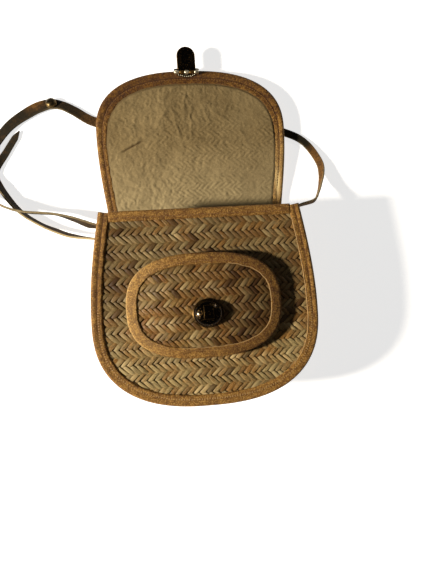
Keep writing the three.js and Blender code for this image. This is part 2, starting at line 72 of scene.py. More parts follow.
bindingHalf = bag["woven"] / 2 + bag["gap"] + bag["leather"]
backLevel = bindingHalf
frontLevel = bag["depth"] - bindingHalf
pocketLevel = frontLevel + pocket["stand"]


# Small helpers

def placed(points):
    return (np.asarray(points, float) + np.array([0, bag["mouthY"], 0])) * mm


def ease(t):
    t = np.clip(t, 0, 1)
    return t * t * (3 - 2 * t)


def fade(value, span):
    # rises softly from 0 at the span's first number to 1 at its second, whichever is larger
    return ease((np.asarray(value, float) - span[0]) / (span[1] - span[0]))


def spannedShare(even, *parts):
    # an even share, and parts that add an amount over their spans of x and of y
    def shareAt(x, y):
        share = even + 0 * x
        for amount, spansX, spansY in parts:
            for span in spansX:
                amount = amount * fade(x, span)
            for span in spansY:
                amount = amount * fade(y, span)
            share = share + amount
        return share
    return shareAt


noiseHash = {"x": 127.1, "y": 311.7, "seed": 74.7, "scale": 43758.5453}


def softNoise(x, y, seed):
    # smooth random hills about one unit across, from -1 to 1
    x, y = np.broadcast_arrays(np.asarray(x, float), np.asarray(y, float))
    left, low = np.floor(x), np.floor(y)

    def corner(dx, dy):
        turn = (left + dx) * noiseHash["x"] + (low + dy) * noiseHash["y"] + seed * noiseHash["seed"]
        value = np.sin(turn) * noiseHash["scale"]
        return value - np.floor(value)

    u, v = ease(x - left), ease(y - low)
    bottom = corner(0, 0) * (1 - u) + corner(1, 0) * u
    top = corner(0, 1) * (1 - u) + corner(1, 1) * u
    return 2 * (bottom * (1 - v) + top * v) - 1


def srgb(red, green, blue):
    # screen values to the linear ones that Blender works in
    def linear(c):
        c /= 255
        return c / 12.92 if c <= 0.04045 else ((c + 0.055) / 1.055) ** 2.4
    return (linear(red), linear(green), linear(blue), 1)


def smooth(mesh):
    mesh.polygons.foreach_set("use_smooth", np.ones(len(mesh.polygons), bool))
    return mesh


def mark(mesh, floats):
    for label, values in floats.items():
        data = mesh.attributes.new(label, "FLOAT", "POINT").data
        data.foreach_set("value", np.asarray(values, np.float32))
    return mesh


def makeMesh(name, points, faces, floats=None):
    mesh = bpy.data.meshes.new(name)
    mesh.from_pydata(placed(points).tolist(), [], [tuple(int(k) for k in face) for face in faces])
    smooth(mark(mesh, floats or {}))
    mesh.validate()
    mesh.update()
    return mesh


def makePiece(name, mesh, material, body="bag", replaced=()):
    piece = bpy.data.objects.new(name, mesh)
    scene.collection.objects.link(piece)
    if not mesh.materials:
        mesh.materials.append(material)
    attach(piece, body)
    if replaced:
        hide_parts(*replaced)
    return piece


def vertexPlaces(mesh):
    flat = np.empty(len(mesh.vertices) * 3)
    mesh.vertices.foreach_get("co", flat)
    return flat.reshape(-1, 3) / mm


def ringFaces(stations, around, closed):
    faces = []
    for i in range(stations if closed else stations - 1):
        here, there = i * around, ((i + 1) % stations) * around
        for k in range(around):
            m = (k + 1) % around
            faces.append((here + k, there + k, there + m, here + m))
    if not closed:
        faces.append(tuple(reversed(range(around))))
        faces.append(tuple(range((stations - 1) * around, stations * around)))
    return faces


def stacked(rings):
    # points and faces of rings laid one above the other; a ring of one point closes the shape
    around = max(len(ring) for ring in rings)
    points, rows, faces = [], [], []
    for ring in rings:
        first = len(points)
        points.extend(ring)
        rows.append([first] * around if len(ring) == 1 else list(range(first, first + around)))
    for lower, upper in zip(rows, rows[1:]):
        for k in range(around):
            m = (k + 1) % around
            faces.append(tuple(dict.fromkeys((lower[k], lower[m], upper[m], upper[k]))))
    return np.array(points, float), faces


def lathe(profile, segments):
    # a shape turned round z, from rows of radius and height that start and end on the axis
    angles = 2 * np.pi * np.arange(segments) / segments
    rings = []
    for radius, height in profile:
        ring = list(zip(radius * np.cos(angles), radius * np.sin(angles), [height] * segments))
        rings.append(ring if radius else [(0, 0, height)])
    return stacked(rings)


def domeProfile(size):
    # half the side view of a button: foot, rim, then a quarter round up to the top
    foot, rim, tall = size["foot"], size["rim"], size["tall"]
    inner = foot - size["flange"]
    rows = [(0, 0), (foot - size["chamfer"], 0), (foot, size["chamfer"]), (foot, rim - size["rimDrop"]),
            (inner + size["rimOut"], rim + size["rimRise"])]
    for turn in np.radians(np.arange(size["domeFrom"], 90, size["domeStep"])):
        rows.append((inner * math.cos(turn), rim + (tall - rim) * math.sin(turn)))
    return rows + [(0, tall)]


def outwards(mesh):
    # turns every face outwards
    work = bmesh.new()
    work.from_mesh(mesh)
    bmesh.ops.recalc_face_normals(work, faces=work.faces)
    work.to_mesh(mesh)
    work.free()
    return mesh


def setInputs(tree, item, inputs):
    for key, value in inputs.items():
        if isinstance(value, bpy.types.NodeSocket):
            tree.links.new(value, item.inputs[key])
        else:
            item.inputs[key].default_value = value


def addNode(tree, kind, inputs=None, **settings):
    item = tree.nodes.new(kind)
    for key, value in settings.items():
        setattr(item, key, value)
    setInputs(tree, item, inputs or {})
    return item


# Outlines

def halfWidth(shape, run):
    run = np.asarray(run, float)
    rising = np.sin(np.pi / 2 * np.clip(run / shape["fullRun"], 0, 1))
    even = shape["startHalf"] + (shape["fullHalf"] - shape["startHalf"]) * rising
    past = np.clip((run - shape["fullRun"]) / (shape["reach"] - shape["fullRun"]), 0, 1)
    rounded = shape["fullHalf"] * (1 - past ** shape["round"]) ** (1 / shape["round"])
    return np.where(run <= shape["fullRun"], even, rounded)


def insetShape(shape, inset):
    smaller = {key: shape[key] - inset for key in ("startHalf", "fullHalf", "reach")}
    return dict(shape, **smaller)


def sideLine(shape, way, steps=200):
    even = np.linspace(0, shape["fullRun"], steps)[:-1]
    bend = np.sin(np.linspace(0, np.pi / 2, steps)) ** (2 / shape["round"])
    runs = np.concatenate([even, shape["fullRun"] + (shape["reach"] - shape["fullRun"]) * bend])
    return np.column_stack([-halfWidth(shape, runs), way * runs])


def bodyLine(shape):
    left = sideLine(shape, -1)
    return np.concatenate([left, left[::-1][1:] * (-1, 1)])


def backFlapLine():
    up = sideLine(flapShape, 1)
    return np.concatenate([bodyLine(backShape), up[1:] * (-1, 1), up[::-1][1:-1]])


def pocketLine(fromAngle=0, toAngle=360, steps=900):
    angles = np.radians(np.linspace(fromAngle, toAngle, steps, endpoint=toAngle - fromAngle < 360))
    power = 2 / pocket["round"]
    x = pocket["halfX"] * np.sign(np.cos(angles)) * np.abs(np.cos(angles)) ** power
    y = pocket["halfY"] * np.sign(np.sin(angles)) * np.abs(np.sin(angles)) ** power
    return np.column_stack([x + pocket["middleX"], y + pocket["middleY"]])


def ovalShare(x, y, inset=0):
    # 0 in the pocket's middle and 1 on its edge, or on a line inside it
    beside = np.abs(np.asarray(x) - pocket["middleX"]) / (pocket["halfX"] - inset)
    above = np.abs(np.asarray(y) - pocket["middleY"]) / (pocket["halfY"] - inset)
    return beside ** pocket["round"] + above ** pocket["round"]


def distances(points):
    steps = np.linalg.norm(np.diff(points, axis=0), axis=1)
    return np.concatenate([[0], np.cumsum(steps)])


def between(spots, stops, values):
    return np.column_stack([np.interp(spots, stops, column) for column in values.T])


def evenLine(points, step, closed):
    # an anticlockwise line at even steps, with outward normals and the distance along it
    ring = np.vstack([points, points[:1]]) if closed else points
    along = distances(ring)
    count = max(3, int(round(along[-1] / step)) + (0 if closed else 1))
    stops = np.linspace(0, along[-1], count, endpoint=not closed)
    spots = between(stops, along, ring)
    if closed:
        ahead = np.roll(spots, -2, axis=0) - np.roll(spots, 2, axis=0)
    else:
        ahead = np.gradient(spots, axis=0)
    ahead /= np.linalg.norm(ahead, axis=1)[:, None]
    return {"points": spots, "normals": np.column_stack([ahead[:, 1], -ahead[:, 0]]), "along": stops,
            "closed": closed, "length": along[-1]}


# Surface heights

def backHeight(x, y):
    return backLevel + bag["flapLift"] * ease(np.asarray(y, float) / bag["flapLiftRun"])


def frontHeight(x, y):
    beside = np.asarray(x) / bag["crownHalfX"]
    above = (np.asarray(y) - bag["crownY"]) / bag["crownHalfY"]
    dome = np.maximum(0, 1 - beside ** 2 - above ** 2) ** 2
    sag = softNoise(x / bag["sagWide"], y / bag["sagLong"], bag["sagSeed"]) * np.minimum(1, 3 * dome)
    return frontLevel + bag["crownHigh"] * dome + bag["frontSag"] * sag


def frontEdgeHeight(x, y):
    return frontLevel + 0 * np.asarray(x)


def pocketHeight(x, y):
    # a low pillow: level round the lock, falling to the edge, with the mouth side gaping
    far = ovalShare(x, y) ** (1 / pocket["round"])
    past = np.clip((far - pocket["flat"]) / (1 - pocket["flat"]), 0, 1)
    opened = fade(np.asarray(y) - pocket["middleY"], (pocket["gapeFrom"], pocket["halfY"]))
    return pocketLevel + pocket["gape"] * opened + pocket["rise"] * (1 - past ** pocket["fall"])


# Camera, at the photograph's place: leans and roll in degrees, focal length in the photograph's pixels

photoCamera = {
    "place": (-34.6, -83.1, 528.6),
    "leanRight": 5.61,
    "leanUp": 0.25,
    "roll": -3.66,
    "focalPixels": 470,
    "imageTall": 577,
    "sensor": 36,
    "clipStart": 10,
}


def makeCamera():
    leanRight, leanUp, roll = (math.radians(photoCamera[key]) for key in ("leanRight", "leanUp", "roll"))
    ahead = Vector((math.tan(leanRight), math.tan(leanUp), -1)).normalized()
    right = ahead.cross(Vector((-math.sin(roll), math.cos(roll), 0))).normalized()
    up = right.cross(ahead)
    lens = bpy.data.cameras.new("photoCamera")
    lens.sensor_fit = "VERTICAL"
    lens.sensor_height = photoCamera["sensor"]
    lens.lens = photoCamera["sensor"] * photoCamera["focalPixels"] / photoCamera["imageTall"]
    lens.clip_start = photoCamera["clipStart"] * mm
    camera = bpy.data.objects.new("photoCamera", lens)
    turn = Matrix((right, up, -ahead)).transposed().to_4x4()
    camera.matrix_world = Matrix.Translation(Vector(placed(photoCamera["place"]))) @ turn
    scene.collection.objects.link(camera)
    scene.camera = camera


makeCamera()
print("camera set")


# Shared finishes

floatKind, colourKind, vectorKind = "NodeSocketFloat", "NodeSocketColor", "NodeSocketVector"


def finishGroup(name, inputs):
    tree = bpy.data.node_groups.new(name, "ShaderNodeTree")
    for label, kind in inputs.items():
        tree.interface.new_socket(label, in_out="INPUT", socket_type=kind)
    for label, kind in (("Colour", colourKind), ("Height", floatKind), ("Roughness", floatKind)):
        tree.interface.new_socket(label, in_out="OUTPUT", socket_type=kind)
    return tree, addNode(tree, "NodeGroupInput").outputs, addNode(tree, "NodeGroupOutput")


def mixColours(tree, share, first, second, blend="MIX"):
    # the colour sockets of a Mix node share their names with others, so they go by number
    sockets = {0: share, 6: first, 7: second}
    settings = {"data_type": "RGBA", "blend_type": blend, "clamp_factor": True}
    return addNode(tree, "ShaderNodeMix", sockets, **settings).outputs[2]


def layered(tree, colour, coats):
    # lays colours over one another, each by its own share
    for share, coat in coats:
        colour = mixColours(tree, share, colour, coat)
    return colour


def maths(tree, operation, first, second=0.0):
    return addNode(tree, "ShaderNodeMath", {0: first, 1: second}, operation=operation).outputs[0]


def spread(tree, value, low, high, newLow=0.0, newHigh=1.0):
    limits = {"From Min": low, "From Max": high, "To Min": newLow, "To Max": newHigh}
    return addNode(tree, "ShaderNodeMapRange", {"Value": value, **limits}).outputs["Result"]


def noiseAt(tree, vector, scale, detail=3.0, rough=0.55):
    look = {"Vector": vector, "Scale": scale, "Detail": detail, "Roughness": rough}
    return addNode(tree, "ShaderNodeTexNoise", look).outputs["Fac"]


# stretches are along, across and by tint; four numbers turn a noise's range into a share
strandLook = {
    "fibreStretch": (120.0, 4.2, 37.0),
    "patchStretch": (55.0, 1.0, 91.0),
    "fibreNoise": (1.0, 4.0, 0.6),
    "patchLean": (0.3, 0.7, -0.35, 0.35),
    "greenShare": (0.15, 0.85),
    "darkPatch": (0.5, 0.7, 0.0, 0.62),
    "darkFibre": (0.5, 0.68, 0.0, 0.85),
    "paleFibre": (0.3, 0.45, 0.72, 0.0),
    # painted shade: darkens each strand's long edges, where it meets its neighbours
    "paintedGapShade": (0.58, 1.0, 0.0, 0.5),
    "rough": (0.3, 0.7, 0.42, 0.64),
    "pale": srgb(194, 168, 112),
    "bleached": srgb(194, 171, 120),
    "bump": (0.75, 0.4),
    "specular": 0.24,
}
strandReads = ("Along", "Across", "Tint", "Shade", "Bleach")
strandDyes = ("Green Straw", "Tan Straw", "Dark Streak")


def strandGroup():
    # one flat rush strand, from the distance along it, the distance across it and its tint
    kinds = {**dict.fromkeys(strandReads, floatKind), **dict.fromkeys(strandDyes, colourKind)}
    tree, start, end = finishGroup("rushStrand", kinds)

    def stretched(sizes):
        sides = zip("XYZ", strandReads, sizes)
        moved = {side: maths(tree, "MULTIPLY", start[label], size) for side, label, size in sides}
        return addNode(tree, "ShaderNodeCombineXYZ", moved).outputs[0]

    def share(value, key):
        return spread(tree, value, *strandLook[key])

    fibre = noiseAt(tree, stretched(strandLook["fibreStretch"]), *strandLook["fibreNoise"])
    patch = noiseAt(tree, stretched(strandLook["patchStretch"]), 1.0)
    edge = maths(tree, "ABSOLUTE", start["Across"])
    dark = start["Dark Streak"]
    green = share(maths(tree, "ADD", start["Tint"], share(patch, "patchLean")), "greenShare")
    straw = mixColours(tree, green, start["Tan Straw"], start["Green Straw"])
    # the last two coats are painted shade along the strand's edges, then the Shade share's darkening
    colour = layered(tree, straw, [
        (share(patch, "darkPatch"), dark), (share(fibre, "darkFibre"), dark),
        (share(fibre, "paleFibre"), strandLook["pale"]), (start["Bleach"], strandLook["bleached"]),
        (share(edge, "paintedGapShade"), dark), (start["Shade"], dark)])
    setInputs(tree, end, {"Colour": colour, "Height": fibre, "Roughness": share(fibre, "rough")})
    return tree


leatherLook = {
    "blotchNoise": (190.0, 5.0, 0.7),
    "grainNoise": (3.0, 0.65),
    "baseBlotch": (0.35, 0.6),
    "paleBlotch": (0.55, 0.75, 0.0, 0.6),
    "darkGrain": (0.5, 0.61, 0.0, 0.66),
    "paleGrain": (0.38, 0.48, 0.6, 0.0),
    "crease": (0.0, 0.12, 0.0, 0.35),
    "rough": (0.3, 0.7, 0.62, 0.8),
    "bumpDeep": 0.5,
}
leatherDyes = {
    "goldenTanLeather": {
        "Base": srgb(155, 111, 48), "Dark": srgb(97, 60, 18), "Pale": srgb(206, 163, 86), "Grain": 700.0,
    },
    "brownStrapLeather": {
        "Base": srgb(116, 78, 34), "Dark": srgb(72, 48, 22), "Pale": srgb(142, 100, 48), "Grain": 800.0,
    },
}


def leatherGroup():
    # mottled hide: broad blotches, fine grain and darker pores
    tree, start, end = finishGroup("leatherGrain", {
        "Vector": vectorKind, "Base": colourKind, "Dark": colourKind, "Pale": colourKind, "Grain": floatKind})

    def share(value, key):
        return spread(tree, value, *leatherLook[key])

    vector, grainSize = start["Vector"], start["Grain"]
    blotch = noiseAt(tree, vector, *leatherLook["blotchNoise"])
    grain = noiseAt(tree, vector, grainSize, *leatherLook["grainNoise"])
    cells = addNode(tree, "ShaderNodeTexVoronoi", {"Vector": vector, "Scale": grainSize},
                    feature="DISTANCE_TO_EDGE")
    hide = mixColours(tree, share(blotch, "baseBlotch"), start["Dark"], start["Base"])
    colour = layered(tree, hide, [
        (share(blotch, "paleBlotch"), start["Pale"]), (share(grain, "darkGrain"), start["Dark"]),
        (share(grain, "paleGrain"), start["Pale"])])
    height = maths(tree, "ADD", grain, share(cells.outputs["Distance"], "crease"))
    setInputs(tree, end, {"Colour": colour, "Height": height, "Roughness": share(blotch, "rough")})
    return tree


strandFinish = strandGroup()
leatherFinish = leatherGroup()


def newMaterial(name):
    material = bpy.data.materials.new(name)
    material.use_nodes = True
    tree = material.node_tree
    shader = next(item for item in tree.nodes if item.type == "BSDF_PRINCIPLED")
    return material, tree, shader


def addBump(tree, shader, height, strength, deep):
    bump = addNode(tree, "ShaderNodeBump", {"Height": height, "Strength": strength, "Distance": deep * mm})
    tree.links.new(bump.outputs["Normal"], shader.inputs["Normal"])


def readFloat(tree, name):
    return addNode(tree, "ShaderNodeAttribute", attribute_name=name).outputs["Fac"]


def objectPlace(tree):
    return addNode(tree, "ShaderNodeTexCoord").outputs["Object"]


def rushMaterial(name, *dyes):
    material, tree, shader = newMaterial(name)
    inputs = {label: readFloat(tree, label.lower()) for label in strandReads}
    inputs.update(zip(strandDyes, dyes))
    strand = addNode(tree, "ShaderNodeGroup", inputs, node_tree=strandFinish)
    setInputs(tree, shader, {
        "Base Color": strand.outputs["Colour"], "Roughness": strand.outputs["Roughness"],
        "Specular IOR Level": strandLook["specular"]})
    addBump(tree, shader, strand.outputs["Height"], *strandLook["bump"])
    return material


def leatherMaterial(name, bump, specular):
    material, tree, shader = newMaterial(name)
    inputs = {"Vector": objectPlace(tree), **leatherDyes[name]}
    hide = addNode(tree, "ShaderNodeGroup", inputs, node_tree=leatherFinish).outputs
    setInputs(tree, shader, {"Roughness": hide["Roughness"], "Specular IOR Level": specular})
    addBump(tree, shader, hide["Height"], bump, leatherLook["bumpDeep"])
    return material, tree, shader, hide["Colour"]


bindingLook = {
    "bump": 0.9,
    "specular": 0.3,
    # the groove colour is painted shade in the sewn groove between the rolls
    "groove": srgb(78, 42, 16),
    "darkened": (0.31, 0.22, 0.045, 1),  # what full darkening leaves of red, green and blue, painted shade among it
    # the colour of painted highlights and painted light on the leather edges
    "wearAndHighlight": srgb(230, 202, 140),
}


def bindingMaterial():
    look = bindingLook
    material, tree, shader, hide = leatherMaterial("goldenTanLeather", look["bump"], look["specular"])
    # painted shade in the groove
    grooved = mixColours(tree, readFloat(tree, "groove"), hide, look["groove"])
    # the shade share darkens the leather, painted shade among it
    darkened = mixColours(tree, readFloat(tree, "shade"), grooved, look["darkened"], "MULTIPLY")
    # painted light: paler leather by the share read here
    wearAndHighlight = mixColours(tree, readFloat(tree, "wearAndHighlight"), darkened, look["wearAndHighlight"])
    tree.links.new(wearAndHighlight, shader.inputs["Base Color"])
    return material


strapLook = {
    "bump": 0.5,
    "specular": 0.12,
    "mottleNoise": (230.0, 4.0),
    "mottle": (0.5, 0.66, 1.0, 0.86),
    # the dark colour serves the dark face and the painted shadow of the flap on it; the edge colour is partly
    # painted light
    "dark": srgb(33, 30, 21),
    "edge": srgb(178, 158, 118),
}


def strapMaterial():
    look = strapLook
    material, tree, shader, hide = leatherMaterial("brownStrapLeather", look["bump"], look["specular"])
    mottle = spread(tree, noiseAt(tree, objectPlace(tree), *look["mottleNoise"]), *look["mottle"])
    # painted shadow of the flap and the dark face, then the pale cut edges, partly painted light
    dark = maths(tree, "MULTIPLY", readFloat(tree, "dark"), mottle)
    colour = layered(tree, hide, [(dark, look["dark"]), (readFloat(tree, "edge"), look["edge"])])
    tree.links.new(colour, shader.inputs["Base Color"])
    return material


metalLook = {
    "cloudNoise": (160.0, 4.0),
    "fineNoise": (1600.0, 2.0),
    "fleckNoise": (650.0, 2.0),
    "cloud": (0.4, 0.7, 0.0, 0.5),
    "cloudDark": 0.55,
    "fleck": (0.57, 0.67, 0.0, 0.55),
    "glossFrom": (0.3, 0.7),
    "glossTimes": (0.7, 1.4),
    "bumpDeep": 0.1,
}


# worn is the colour where the finish is worn and where a highlight is painted
def metalMaterial(name, colour, worn, rough, wornRough, scratch):
    look = metalLook
    material, tree, shader = newMaterial(name)
    place = objectPlace(tree)
    cloud = noiseAt(tree, place, *look["cloudNoise"])
    fine = noiseAt(tree, place, *look["fineNoise"])
    darker = tuple(look["cloudDark"] * c for c in colour[:3]) + (1,)
    clouded = mixColours(tree, spread(tree, cloud, *look["cloud"]), colour, darker)
    flecks = spread(tree, noiseAt(tree, place, *look["fleckNoise"]), *look["fleck"])
    wearAndHighlight = maths(tree, "MAXIMUM", readFloat(tree, "wearAndHighlight"), flecks)
    gloss = spread(tree, cloud, *look["glossFrom"], *(rough * times for times in look["glossTimes"]))
    dull = maths(tree, "MULTIPLY", wearAndHighlight, wornRough)
    setInputs(tree, shader, {
        "Base Color": mixColours(tree, wearAndHighlight, clouded, worn),
        "Roughness": maths(tree, "ADD", gloss, dull), "Metallic": 1.0})
    addBump(tree, shader, fine, scratch, look["bumpDeep"])
    return material


# the last two shares go by the height up the flap, in metres
clothLook = {
    "broadNoise": (22.0, 4.0),
    "fineNoise": (700.0, 3.0, 0.7),
    "threads": {"Scale": 620.0, "Distortion": 1.5, "Detail": 2.0},
    "threadShare": 0.4,
    "broad": (0.35, 0.65),
    "fineDark": (0.5, 0.75, 0.0, 0.45),
    "finePale": (0.28, 0.45, 0.4, 0.0),
    "lowPale": (0.085, 0.0, 0.0, 0.36),
    "highDark": (0.06, 0.15, 0.0, 0.3),
    "rough": 0.92,
    "specular": 0.15,
    "bump": (0.45, 0.4),
}
# the hollow colour is painted shade, for pressed hollows, the slit and the binding's edge
clothDyes = {
    "base": srgb(122, 103, 68), "second": srgb(146, 126, 87), "dark": srgb(98, 80, 50),
    "pale": srgb(174, 156, 114), "hollowShade": srgb(72, 53, 30), "lowPale": srgb(188, 172, 132),
    "highDark": srgb(92, 74, 44),
}


def liningMaterial():
    look = clothLook
    material, tree, shader = newMaterial("oliveBeigeLining")
    place = objectPlace(tree)
    broad = noiseAt(tree, place, *look["broadNoise"])
    fine = noiseAt(tree, place, *look["fineNoise"])
    threads = addNode(tree, "ShaderNodeTexWave", {"Vector": place, **look["threads"]}, bands_direction="X")
    upper = addNode(tree, "ShaderNodeSeparateXYZ", {0: place}).outputs["Y"]
    cloth = mixColours(tree, spread(tree, broad, *look["broad"]), clothDyes["base"], clothDyes["second"])
    colour = layered(tree, cloth, [
        (spread(tree, fine, *look["fineDark"]), clothDyes["dark"]),
        (spread(tree, fine, *look["finePale"]), clothDyes["pale"]),
        (readFloat(tree, "hollowShade"), clothDyes["hollowShade"]),
        (spread(tree, upper, *look["lowPale"]), clothDyes["lowPale"]),
        (spread(tree, upper, *look["highDark"]), clothDyes["highDark"])])
    setInputs(tree, shader, {
        "Base Color": colour, "Roughness": look["rough"], "Specular IOR Level": look["specular"]})
    weave = maths(tree, "MULTIPLY", threads.outputs["Fac"], look["threadShare"])
    addBump(tree, shader, maths(tree, "ADD", fine, weave), *look["bump"])
    return material


threadLook = {"twist": {"Scale": 900.0, "Distortion": 2.0}, "rough": 0.7, "bump": (0.4, 0.2)}


def threadMaterial(name, dark, pale):
    material, tree, shader = newMaterial(name)
    twist = addNode(tree, "ShaderNodeTexWave", {"Vector": objectPlace(tree), **threadLook["twist"]})
    colour = mixColours(tree, twist.outputs["Fac"], dark, pale)
    setInputs(tree, shader, {"Base Color": colour, "Roughness": threadLook["rough"]})
    addBump(tree, shader, twist.outputs["Fac"], *threadLook["bump"])
    return material


# colour, colour where worn or where a highlight is painted, roughness, roughness added in those places,
# scratches
metals = {
    "gunmetal": (srgb(46, 40, 34), srgb(138, 104, 54), 0.16, 0.38, 0.05),
    "clipMetal": (srgb(76, 60, 36), srgb(236, 226, 198), 0.34, 0.08, 0.2),
    "paleMetal": (srgb(222, 212, 186), srgb(186, 146, 84), 0.42, 0.38, 0.15),
    "dullMetal": (srgb(66, 57, 41), srgb(128, 104, 62), 0.42, 0.1, 0.3),
}
rush = rushMaterial("rushStrands", srgb(160, 140, 93), srgb(148, 106, 52), srgb(66, 43, 18))
pocketRush = rushMaterial("pocketStrands", srgb(150, 121, 68), srgb(145, 97, 42), srgb(60, 37, 13))
binding = bindingMaterial()
strapHide = strapMaterial()
lining = liningMaterial()
thread = threadMaterial("waxedThread", srgb(96, 61, 25), srgb(148, 104, 50))
paleThread = threadMaterial("paleThread", srgb(150, 112, 62), srgb(196, 162, 108))
gunmetal, clipMetal, paleMetal, dullMetal = (metalMaterial(name, *look) for name, look in metals.items())
print("finishes made")


# Strap

strap = {
    "thick": 2.2, "clear": 0.3, "corner": 0.55, "cornerCut": 0.3, "dish": 0.12, "dishIn": 2, "leastHalf": 0.2,
    "tipRun": 9, "tipShare": 0.1, "stepsPerSpan": 14, "studAt": 15,
    "cornerPale": 0.3, "paleEven": 0.8, "paleRun": 3, "paleSeed": 8,
}
# the route repeats the part's own: x, y, height of the lower edge, lean in degrees, width
strapRoute = [
    (97.6, -36, 28.4, -90, 8.2), (93.5, -12, 28.4, -90, 8.2), (105, 1, 27.9, -94, 8.2),
    (128.5, 9, 22.3, -104, 8.2), (135.5, 17.7, 15.3, -100, 8.2), (141.3, 29.7, 8.2, -88, 8.2),
    (145.2, 42.3, 2.9, -66, 8.2), (145, 55.8, 0.4, -34, 8.2), (129.4, 80.7, 0, 0, 8.2),
    (108.6, 92.2, 0, 0, 8.6), (40, 107, 0, 0, 9.5), (-50, 107, 0, 0, 10),
    (-104.5, 110.6, 0, 2, 10.6), (-128.2, 123.9, 0, 12, 10.5), (-139.2, 129.2, 0, 18, 10.6),
    (-150.6, 131.4, 0, 13, 11.6), (-162.6, 129, 0, 8, 12.4), (-175, 123.5, 0, 4, 12),
    (-199.8, 105.5, 0.2, 7, 10.4), (-227, 59.6, 0.4, 34, 10.4), (-225, 41.5, 2, 62, 11),
    (-215.5, 27.8, 6.5, 84, 11), (-200, 17.7, 11.5, 92, 11), (-183.6, 12.5, 11.9, 94, 11),
    (-151, 8.6, 10, 94, 11), (-134, 2.9, 11, 78, 11), (-116.1, -5.3, 20, 64, 11),
    (-102, -9, 24, 90, 11), (-95.6, -11, 24.5, 90, 11), (-94, -15.5, 24.5, 90, 11),
    (-95.6, -20, 24.5, 90, 11), (-102, -21.6, 23.5, 90, 11), (-135.5, -14.9, 8, 68, 11),
    (-154.2, -7.2, 2.3, 68, 11), (-169.4, 0.4, 0.2, 74, 10.8), (-190.1, 15.6, 0.2, 72, 10.6),
    (-209.4, 43.2, 0.2, 60, 9.6), (-214.5, 57.3, 0.2, 34, 8.4), (-200.9, 81.9, 0, 0, 7.2),
    (-186.5, 103.8, 0, 0, 6.4),
]
# by route point: how dark the face is, with a painted shadow of the flap from point 7.6 to 11; how pale its
# cut edge is, partly painted light where it lies in shade; how much lighter one half of the face is
strapDarkAndShadow = [
    (0, 0.1), (5, 0.1), (7.55, 0.25), (7.85, 1.0), (11, 0.95), (12.2, 0.5), (12.8, 0.9), (15.2, 0.97),
    (15.8, 0.92), (17.6, 0.97), (24.5, 0.97), (26, 0.8), (29, 0.7), (31, 0.45), (33, 0.65), (35, 0.97),
    (39, 0.97),
]
strapEdgePaleAndLit = [
    (0, 0.95), (4.2, 0.95), (6, 0.5), (7.5, 0.3), (9, 0.1), (13, 0.1), (14, 0.4), (15.2, 0.3), (16, 0.1),
    (19, 0.1), (20.5, 0.7), (24, 0.7), (25.5, 0.35), (29, 0.35), (31, 0.95), (34.5, 0.95), (36, 0.4),
    (37, 0.1), (39, 0.1),
]
strapGold = [(15.4, 0), (15.9, 0.8), (16.7, 0.75), (17.2, 0)]


def routeCurve(points, stepsPerSpan):
    # a centripetal curve through the points
    ends = [2 * points[0] - points[1], *points, 2 * points[-1] - points[-2]]
    spots = []
    for i in range(len(points) - 1):
        p0, p1, p2, p3 = ends[i:i + 4]
        d0, d1, d2 = (math.sqrt(np.linalg.norm(b - a)) for a, b in ((p0, p1), (p1, p2), (p2, p3)))
        out = d1 * ((p1 - p0) / d0 - (p2 - p0) / (d0 + d1) + (p2 - p1) / d1)
        into = d1 * ((p2 - p1) / d1 - (p3 - p1) / (d1 + d2) + (p3 - p2) / d2)
        for t in np.arange(stepsPerSpan) / stepsPerSpan:
            spots.append((2 * t**3 - 3 * t**2 + 1) * p1 + (t**3 - 2 * t**2 + t) * out
                         + (3 * t**2 - 2 * t**3) * p2 + (t**3 - t**2) * into)
    spots.append(points[-1])
    return np.array(spots)


def strapFrames():
    table = np.array(strapRoute, float)
    lean, wide = np.radians(table[:, 3]), table[:, 4]
    onEdge, lyingFlat = np.abs(np.sin(lean)), np.abs(np.cos(lean))
    high = table[:, 2] + wide / 2 * onEdge + strap["thick"] / 2 * lyingFlat + strap["clear"]
    middle = routeCurve(np.column_stack([table[:, :2], high]), strap["stepsPerSpan"])
    ahead = np.gradient(middle, axis=0)
    ahead /= np.linalg.norm(ahead, axis=1)[:, None]
    flat = np.cross([0, 0, 1], ahead)
    flat /= np.linalg.norm(flat, axis=1)[:, None]
    upright = np.cross(ahead, flat)
    index = np.arange(len(middle)) / strap["stepsPerSpan"]
    roll = np.interp(index, np.arange(len(table)), lean)[:, None]
    across = flat * np.cos(roll) + upright * np.sin(roll)
    face = upright * np.cos(roll) - flat * np.sin(roll)
    return middle, across, face, index, np.interp(index, np.arange(len(table)), wide)


def strapSection():
    # round the strip: side, distance in from that side's cut edge, height
    b, c = strap["thick"] / 2, strap["corner"]
    cut = strap["cornerCut"] * c
    right = [(1, c, -b), (1, cut, -b + cut), (1, 0, -b + c), (1, 0, b - c), (1, cut, b - cut), (1, c, b),
             (1, strap["dishIn"], b - strap["dish"])]
    left = [(-1, inward, level) for side, inward, level in reversed(right)]
    return [*right, (0, 0, b), *left, (0, 0, -b)]


def edgePale(side, inward):
    if side == 0 or inward > strap["corner"]:
        return 0
    return strap["cornerPale"] if inward == strap["corner"] else 1


